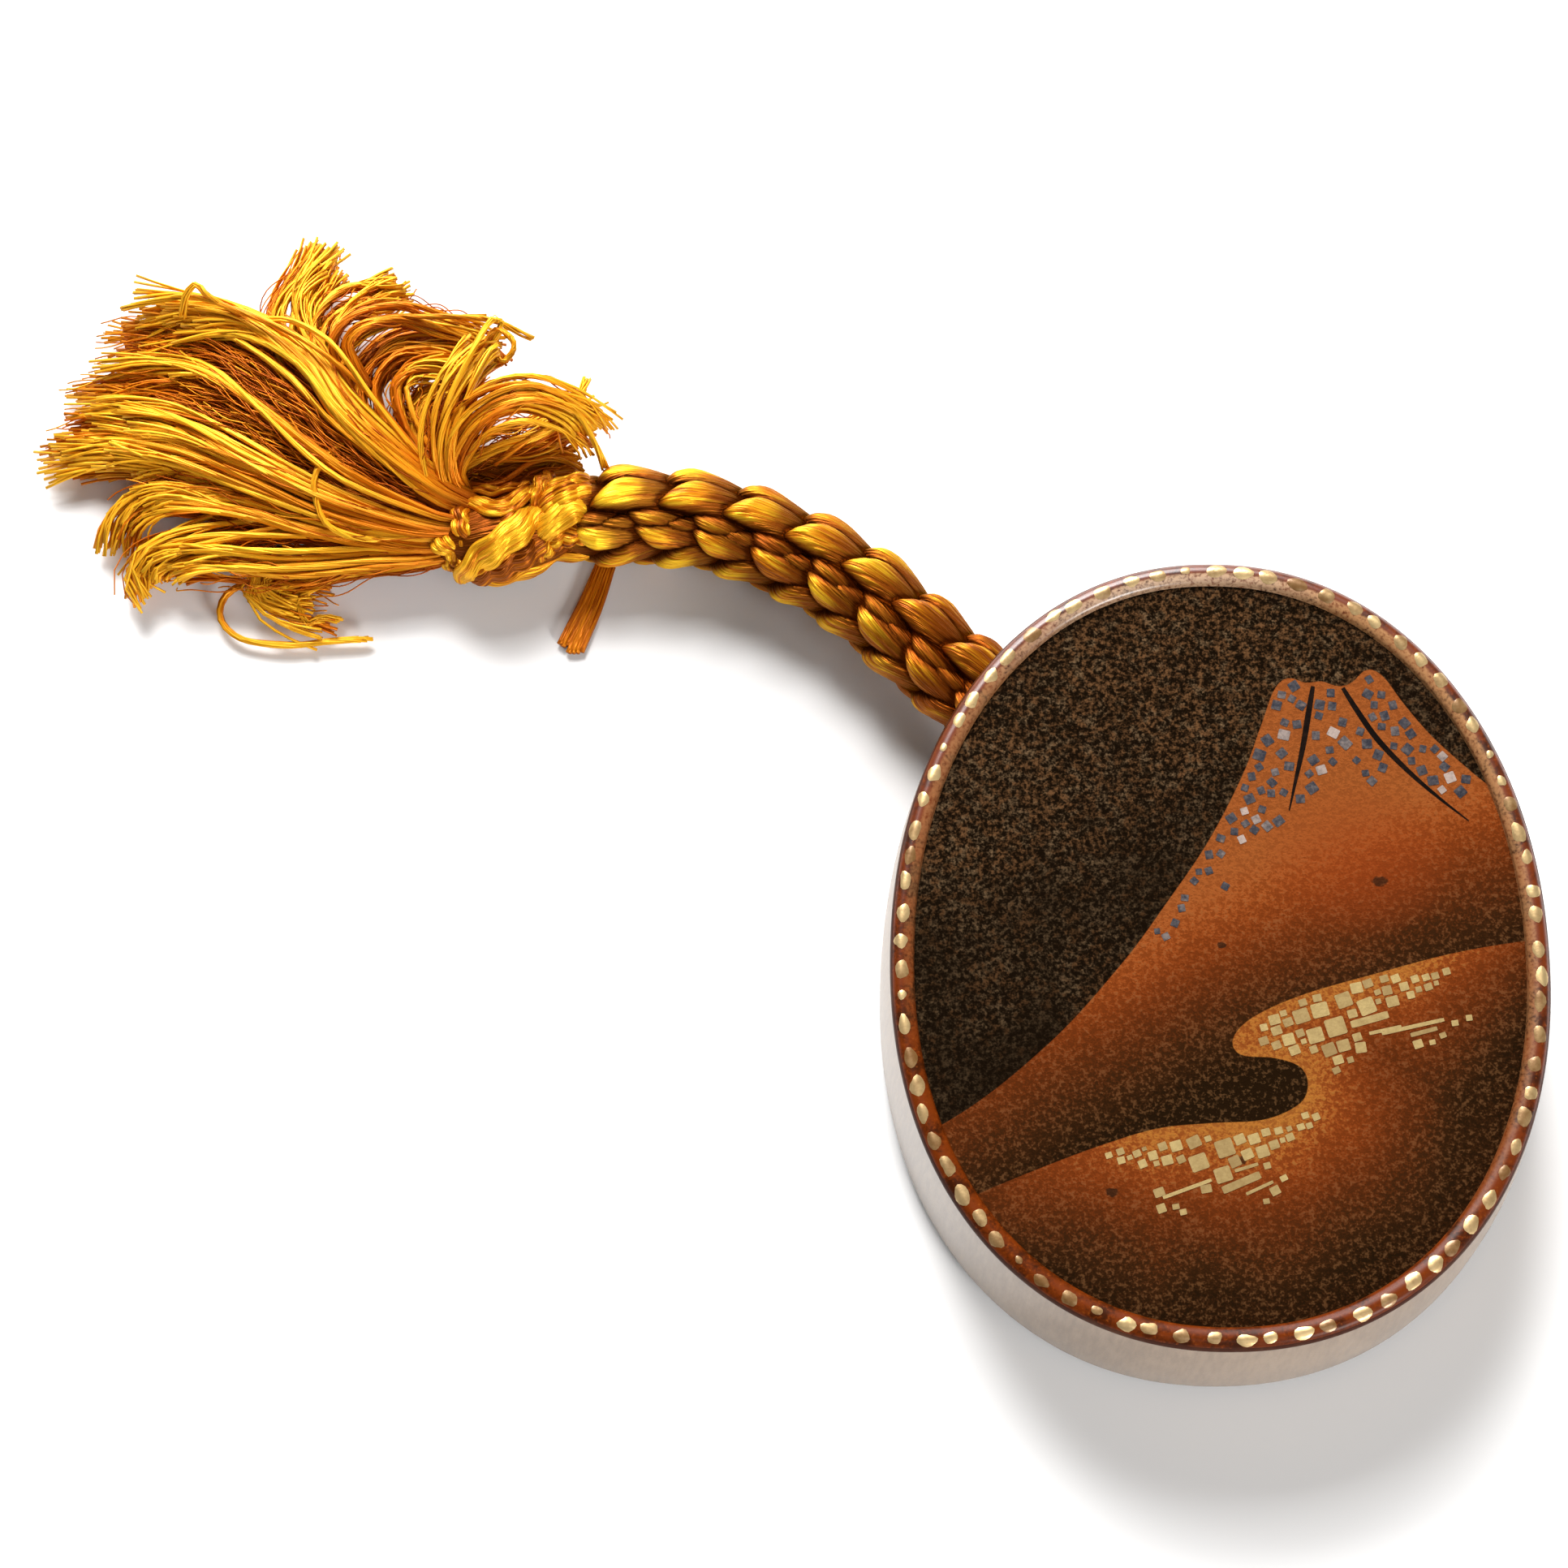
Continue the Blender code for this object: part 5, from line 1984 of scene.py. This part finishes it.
STRAYS = {
    "arch": ((-43.4, 28.6, 3.6), (-46.8, 32.4, 5.6), (-49.7, 35.7, 6.2), (-53.0, 38.2, 6.4),
             (-56.5, 40.1, 5.6), (-59.6, 41.6, 4.4), (-62.2, 41.7, 3.4), (-64.2, 41.5, 2.6)),
    "hook": ((-53.6, 38.2, 5.0), (-56.9, 40.4, 5.0), (-58.7, 41.5, 5.1), (-59.4, 42.2, 5.1),
             (-60.0, 41.6, 4.8), (-60.3, 40.6, 3.8)),
    "loop": ((-43.4, 28.8, 3.4), (-44.8, 31.4, 4.8), (-44.3, 33.4, 7.2), (-43.1, 36.0, 8.0),
             (-41.8, 38.6, 7.8), (-41.3, 39.1, 7.5), (-41.0, 38.6, 7.2), (-42.0, 37.0, 6.4)),
    "curl": ((-43.4, 34.6, 7.0), (-41.7, 38.3, 7.2), (-40.5, 38.0, 7.4), (-40.2, 37.2, 7.2),
             (-40.9, 36.5, 6.8), (-41.6, 37.0, 6.6)),
    "bow": ((-43.2, 28.8, 3.4), (-44.7, 31.6, 4.8), (-42.1, 33.9, 7.6), (-38.9, 34.2, 8.0),
            (-36.6, 33.3, 7.4), (-35.4, 31.7, 6.4), (-34.9, 30.4, 5.0)),
    "wisp": ((-41.4, 30.6, 5.6), (-39.6, 31.7, 6.4), (-37.7, 32.8, 6.8), (-36.4, 34.3, 6.8),
             (-36.0, 35.8, 6.4)),
    "ledge": ((-50.3, 40.0, 5.2), (-45.9, 39.8, 5.8), (-42.1, 39.8, 5.4), (-39.3, 38.8, 4.6)),
    "dangle": ((-43.2, 27.2, 3.0), (-45.4, 26.2, 2.2), (-49.3, 25.5, 1.8), (-52.2, 24.3, 1.5),
               (-53.2, 23.6, 1.3), (-52.6, 22.2, 1.1), (-51.8, 22.7, 1.0), (-50.5, 22.5, 0.9)),
    "sweep": ((-43.0, 28.2, 3.6), (-44.6, 30.1, 4.8), (-45.7, 31.1, 5.6), (-48.1, 33.9, 6.2),
              (-50.0, 36.6, 6.4), (-51.4, 38.3, 6.2), (-53.6, 39.7, 5.6), (-55.7, 40.2, 4.6)),
    "swag": ((-47.6, 33.6, 2.0), (-49.9, 32.9, 4.4), (-51.9, 30.6, 5.3), (-52.1, 29.0, 5.2),
             (-51.4, 27.1, 4.8), (-49.5, 26.3, 4.4), (-46.7, 26.5, 3.8)),
}


@dataclass(frozen=True)
class Combing:
    """How one lock's threads lie: how many, how thick, how wavy and how frayed."""
    plies: int = 16
    threads: int = 9
    ply: float = 0.13
    radius: float = 0.082
    wave: float = 0.46
    fray: float = 0.50
    ragged: float = 0.20
    curl: float = 0.55
    cover: float = 0.55
    lean: float = 0.0
    fuzz: int = 26
    shine: Flat = (0.50, 1.0)
    shade: Flat = (0.02, 0.30)


@dataclass(frozen=True)
class Bed:
    """Where the threads of one lock lie.

    At each share of the way it has a point of the centreline, the ways across and up
    from there, and the lock's half-width and half-depth.
    """
    shares: Rows
    tracks: Sequence[Rows]
    widths: Rows
    depths: Rows

    def reach(self, t: Rows) -> tuple[Rows, Rows]:
        """The half-widths and the half-depths at these shares of the way."""
        return np.interp(t, self.shares, self.widths), np.interp(t, self.shares, self.depths)

    def lay(self, t: Rows, across: Rows, high: Rows, lowest: float) -> Rows:
        """Lay one thread.

        Args:
            t: the shares of the way at which it has its points.
            across, high: how far it is off the centreline there.
            lowest: the least height above the table.

        Returns:
            Its points, one to a row.
        """
        place, side, top = (np.stack([np.interp(t, self.shares, row[:, i]) for i in range(3)], 1)
                            for row in self.tracks)
        line = place + side * across[:, None] + top * high[:, None]
        line[:, 2] = np.maximum(line[:, 2], lowest)
        return line


@dataclass
class SilkTassel:
    """One part of the loose tassel: locks of silk, each of plies of fine threads."""
    name: str
    locks: Mapping[str, Combing]
    seed: int
    segments: int = 22
    sides: int = 3
    table_gap: float = 0.1
    hair_radius: float = 0.045
    finish: ThreadSilk = ThreadSilk()

    def build(self, material: Material) -> Piece:
        """Comb every lock of this part into threads.

        Args:
            material: the silk, which all parts share.

        Returns:
            The part.
        """
        draw = np.random.default_rng(self.seed)
        lines = []
        for name, combing in self.locks.items():
            lock = LOCKS.get(name) or Lock(STRAYS[name], STRAY_WIDTHS, STRAY_WIDTHS)
            lines.extend(self.comb(lock, combing, draw))
        tassel = self.spin(lines, draw)
        dress(tassel, material)
        return tassel

    def comb(self, lock: Lock, combing: Combing, draw: np.random.Generator) -> list[Thread]:
        """Lay the threads of one lock.

        Args:
            lock: its route and sizes.
            combing: how its threads lie.
            draw: the source of chance.

        Returns:
            For each thread, its points, its radius and its tone.
        """
        fine = 60
        route = smooth_route(lock.route, fine)
        ahead = [heading(route, k) for k in range(fine)]
        sides = [Vector((0, 0, 1)).cross(a).normalized() for a in ahead]
        tops = [a.cross(s).normalized() for a, s in zip(ahead, sides)]
        shares = np.linspace(0, 1, fine)
        bed = Bed(shares, [np.array([tuple(v) for v in row]) for row in (route, sides, tops)],
                  np.array([along(lock.widths, s) for s in shares]),
                  np.array([along(lock.depths, s) for s in shares]))
        lines = []
        for _ in range(combing.plies):
            around, out = draw.uniform(0, 2 * math.pi), math.sqrt(draw.uniform(0, 1)) * 0.95
            home = np.array((math.cos(around), math.sin(around))) * out
            on_top = draw.random() < combing.cover
            home[1] = 0.55 + 0.4 * abs(home[1]) if on_top else -0.1 - 0.8 * abs(home[1])
            if on_top:
                home[0] = combing.lean + (1 - abs(combing.lean)) * home[0]
            drift, curl = draw.normal(0, 0.20, 2), draw.normal(0, combing.curl, 2)
            sway, beat = draw.normal(0, combing.wave, 2), draw.uniform(0.5, 1.4)
            phase, twist = draw.uniform(0, 6.3), draw.uniform(1.0, 2.6)
            reach, parting = 1 - draw.uniform(0, combing.ragged), draw.uniform(0.55, 0.86)
            # Painted light and shade: plies on top of the lock take a shine tone, plies under it a
            # shade tone
            tone = draw.uniform(*(combing.shine if on_top else combing.shade))
            for thread in range(combing.threads):
                wispy = thread % 7 == 6 and draw.random() < 0.5
                t = np.linspace(0, max(reach - draw.uniform(0, 0.035), 0.2), self.segments + 1)
                opened = np.clip((t / reach - parting) / (1 - parting), 0, 1) ** 1.4
                if wispy:
                    opened = np.clip(t / reach - 0.25, 0, 1) ** 1.6
                spread = draw.normal(0, combing.fray, 2)
                lay = 2 * math.pi * (thread / combing.threads + twist * t)
                near = combing.ply * math.sqrt(draw.uniform(0.3, 1))
                swing = np.sin(beat * 2 * math.pi * t + phase) * t ** 0.7
                w, d = bed.reach(t)
                across = ((home[0] + drift[0] * t) * w + near * np.cos(lay) + spread[0] * opened
                          + sway[0] * swing + curl[0] * t ** 5)
                high = ((home[1] + drift[1] * t) * d + near * np.sin(lay)
                        + spread[1] * opened * 0.6 + sway[1] * swing * 0.5
                        + abs(curl[1]) * t ** 5 * 0.5)
                radius = combing.radius * (0.5 if wispy else draw.uniform(0.8, 1.25))
                line = bed.lay(t, across, high, self.table_gap + radius)
                lines.append((line, radius, tone + draw.uniform(-0.04, 0.08)))
        for _ in range(combing.fuzz):
            lines.append(self.hair(bed, draw))
        return lines

    def hair(self, bed: Bed, draw: np.random.Generator) -> Thread:
        """One fine frizzy hair that lies low in a lock.

        Args:
            bed: where the lock's threads lie.
            draw: the source of chance.

        Returns:
            Its points, its radius and its tone.
        """
        start = draw.uniform(0.1, 0.6)
        t = np.linspace(start, min(start + draw.uniform(0.25, 0.45), 1.0), self.segments + 1)
        wide, deep = bed.reach(t)
        beats, phases = draw.uniform(2.5, 7.0, 2), draw.uniform(0, 6.3, 2)
        frizz = 0.22 * np.sin(beats[:, None] * 2 * math.pi * t + phases[:, None])
        lean = draw.normal(0, 1.2)
        across = draw.uniform(-1, 1) * wide + frizz[0] + lean * (t - start)
        high = draw.uniform(-0.3, 0.9) * deep + frizz[1] * 0.6
        line = bed.lay(t, across, high, self.table_gap + 0.05)
        return line, self.hair_radius, draw.uniform(0.05, 0.45)

    def spin(self, lines: Sequence[Thread], draw: np.random.Generator) -> Piece:
        """Give every thread its round and its place on the map.

        Args:
            lines: what comb gives.
            draw: the source of chance.

        Returns:
            The piece.
        """
        rows = self.finish.rows
        count, sides = self.segments + 1, self.sides
        points, faces, places = [], [], []
        ring = np.arange(sides) * 2 * math.pi / sides
        quads = np.array(tube_faces(count, sides))
        t = np.linspace(0, 1, count)
        taper = 1 + 0.15 * t ** 3
        near, far = t[:-1].repeat(sides), t[1:].repeat(sides)
        for number, (line, radius, tone) in enumerate(lines):
            ahead = np.gradient(line, axis=0)
            ahead /= np.linalg.norm(ahead, axis=1)[:, None]
            side = np.cross((0.0, 0.0, 1.0), ahead)
            side /= np.maximum(np.linalg.norm(side, axis=1)[:, None], 1e-6)
            top = np.cross(ahead, side)
            turn = draw.uniform(0, 6.3)
            spokes = (side[:, None, :] * np.cos(ring + turn)[None, :, None]
                      + top[:, None, :] * np.sin(ring + turn)[None, :, None])
            tube = line[:, None, :] + spokes * (radius * taper)[:, None, None]
            points.append(tube.reshape(-1, 3))
            base = number * count * sides
            faces.extend((quads + base).tolist())
            faces.append(list(range(base, base + sides))[::-1])
            faces.append(list(range(base + (count - 1) * sides, base + count * sides)))
            row = min(max(int(tone * rows), 0), rows - 1)
            low, high = (row + 0.2) / rows, (row + 0.8) / rows
            block = np.empty((len(quads), 4, 2))
            block[..., 0] = np.stack([near, near, far, far], 1)
            block[..., 1] = (low, high, high, low)
            places.append(block.reshape(-1, 2))
            places.append(np.array([(0.0, low)] * sides + [(1.0, low)] * sides))
        piece = loose_mesh(self.name, np.vstack(points), faces)
        add_corner_map(piece, "OFBake", np.vstack(places))
        return piece


TASSEL_SEED = 30
STRAND = Combing(1, 8, fray=0.10, wave=0.0, ragged=0.0, curl=0.0, cover=1.0, fuzz=0)
PARTS = {
    "tassel_fan_high": {"fan_crown": Combing(22, 9, cover=0.8, wave=0.55, lean=-0.1),
                        "fan_upper": Combing(38, 10, cover=0.22, lean=0.8, fuzz=200)},
    "tassel_fan_low": {"fan_middle": Combing(38, 10, cover=0.26, lean=0.7, fuzz=200),
                       "fan_lower": Combing(30, 10, cover=0.55, lean=0.3, fuzz=80)},
    "tassel_low": {"side_curl": Combing(16, 9), "lower_bunch": Combing(28, 9, cover=0.35, fuzz=60),
                   "lower_tail": Combing(12, 9),
                   "stray_loop": Combing(3, 6, 0.11, fray=0.08, ragged=0.06, curl=0.0, wave=0.1,
                                         cover=1.0, fuzz=0)},
    "tassel_back": {"upper_bunch": Combing(24, 10, shine=(0.45, 0.90), shade=(0.15, 0.45)),
                    "upper_side": Combing(12, 8, shine=(0.40, 0.85), shade=(0.15, 0.45)),
                    "back_arch": Combing(8, 7, curl=0.3, fuzz=8, shine=(0.35, 0.75)),
                    "back_bowl": Combing(20, 10, cover=0.35, fuzz=60, shine=(0.25, 0.75)),
                    "inner_bowl": Combing(14, 9, cover=0.3, fuzz=40, shine=(0.25, 0.70))},
    "tassel_curls": {"standing_curl": Combing(12, 6, fray=0.3),
                     "curl_over": Combing(16, 8, shine=(0.35, 0.85), shade=(0.12, 0.36)),
                     "back_wisp": Combing(10, 7, cover=0.5),
                     "knot_veil": Combing(34, 9, wave=0.4, fray=0.3, cover=0.35,
                                          shine=(0.22, 0.50), shade=(0.12, 0.34))},
    "tassel_strays": {name: STRAND for name in STRAYS},
}


@dataclass
class StripEnd:
    """The flat cut end of silk that lies beside the knot."""
    start: Flat = (-35.0, 26.2)
    bend: Flat = (-35.9, 23.7)
    end: Flat = (-37.1, 20.9)
    widths: Point = (1.1, 1.4, 1.6)
    thickness: float = 0.5
    gap: float = 0.1
    strands: int = 7
    stations: int = 24
    seed: int = 4
    finish: Silk = Silk("strip_silk", light=(0.80, 0.250, 0.006), middle=(0.55, 0.125, 0.0022),
                        dull_brown=(0.38, 0.080, 0.0020), deep=(0.24, 0.050, 0.002), metal=0.3)

    def build(self) -> Piece:
        """Lay flat strands side by side, each cut at its own length."""
        bundle = Bundle()
        draw = random.Random(self.seed)
        places = [Vector((*p, 0)) for p in (self.start, self.bend, self.end)]
        ahead = (places[-1] - places[0]).normalized()
        side = Vector((-ahead.y, ahead.x, 0))
        radii = [0.15 + 0.04 * j / (self.stations - 1) for j in range(self.stations)]
        for k in range(self.strands):
            share = (k + 0.5) / self.strands - 0.5
            route = []
            reach = draw.uniform(-0.05, 0.06)
            for place, width, lift in zip(places, self.widths, (1.6, 1.0, 1.0)):
                up = Vector((0, 0, self.gap + self.thickness / 2 * lift))
                route.append(place + side * share * width + up)
            route[-1] += ahead * (reach * 4)
            bundle.strand(smooth_route(route, self.stations), radii,
                          [Vector((0, 0, 1))] * self.stations, draw.random(), sides=8)
        strip = bundle.piece("silk_strip", self.finish, 0.4)
        settle(strip, "strip_silk", "cord_strip_end")
        return strip


# ---- all together


def main() -> None:
    """Build the studio and every piece."""
    logging.basicConfig(level=logging.INFO, format="%(name)s %(message)s")
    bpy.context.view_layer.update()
    Studio().build()
    oval = Oval.of_node("netsuke_body")
    body = LacquerBody(oval)
    braid = SilkBraid(body)
    cord = braid.build()
    knot = SilkKnot().build()
    strip = StripEnd().build()
    thread = ThreadSilk().material()
    for number, (name, locks) in enumerate(PARTS.items()):
        tassel = SilkTassel(name, locks, seed=TASSEL_SEED + number).build(thread)
        settle(tassel, "tassel_silk", *([] if number else ["cord_tassel"]))
    braid.declare()

    body.build()
    panel = PaintedPanel(oval)
    panel.build()
    inlay = Inlay(panel)
    GoldLeaf(inlay).build()
    ShellInlay(inlay).build()
    RavineLines(panel).build()
    RimFoil(oval).build()


if __name__ == "__main__":
    main()
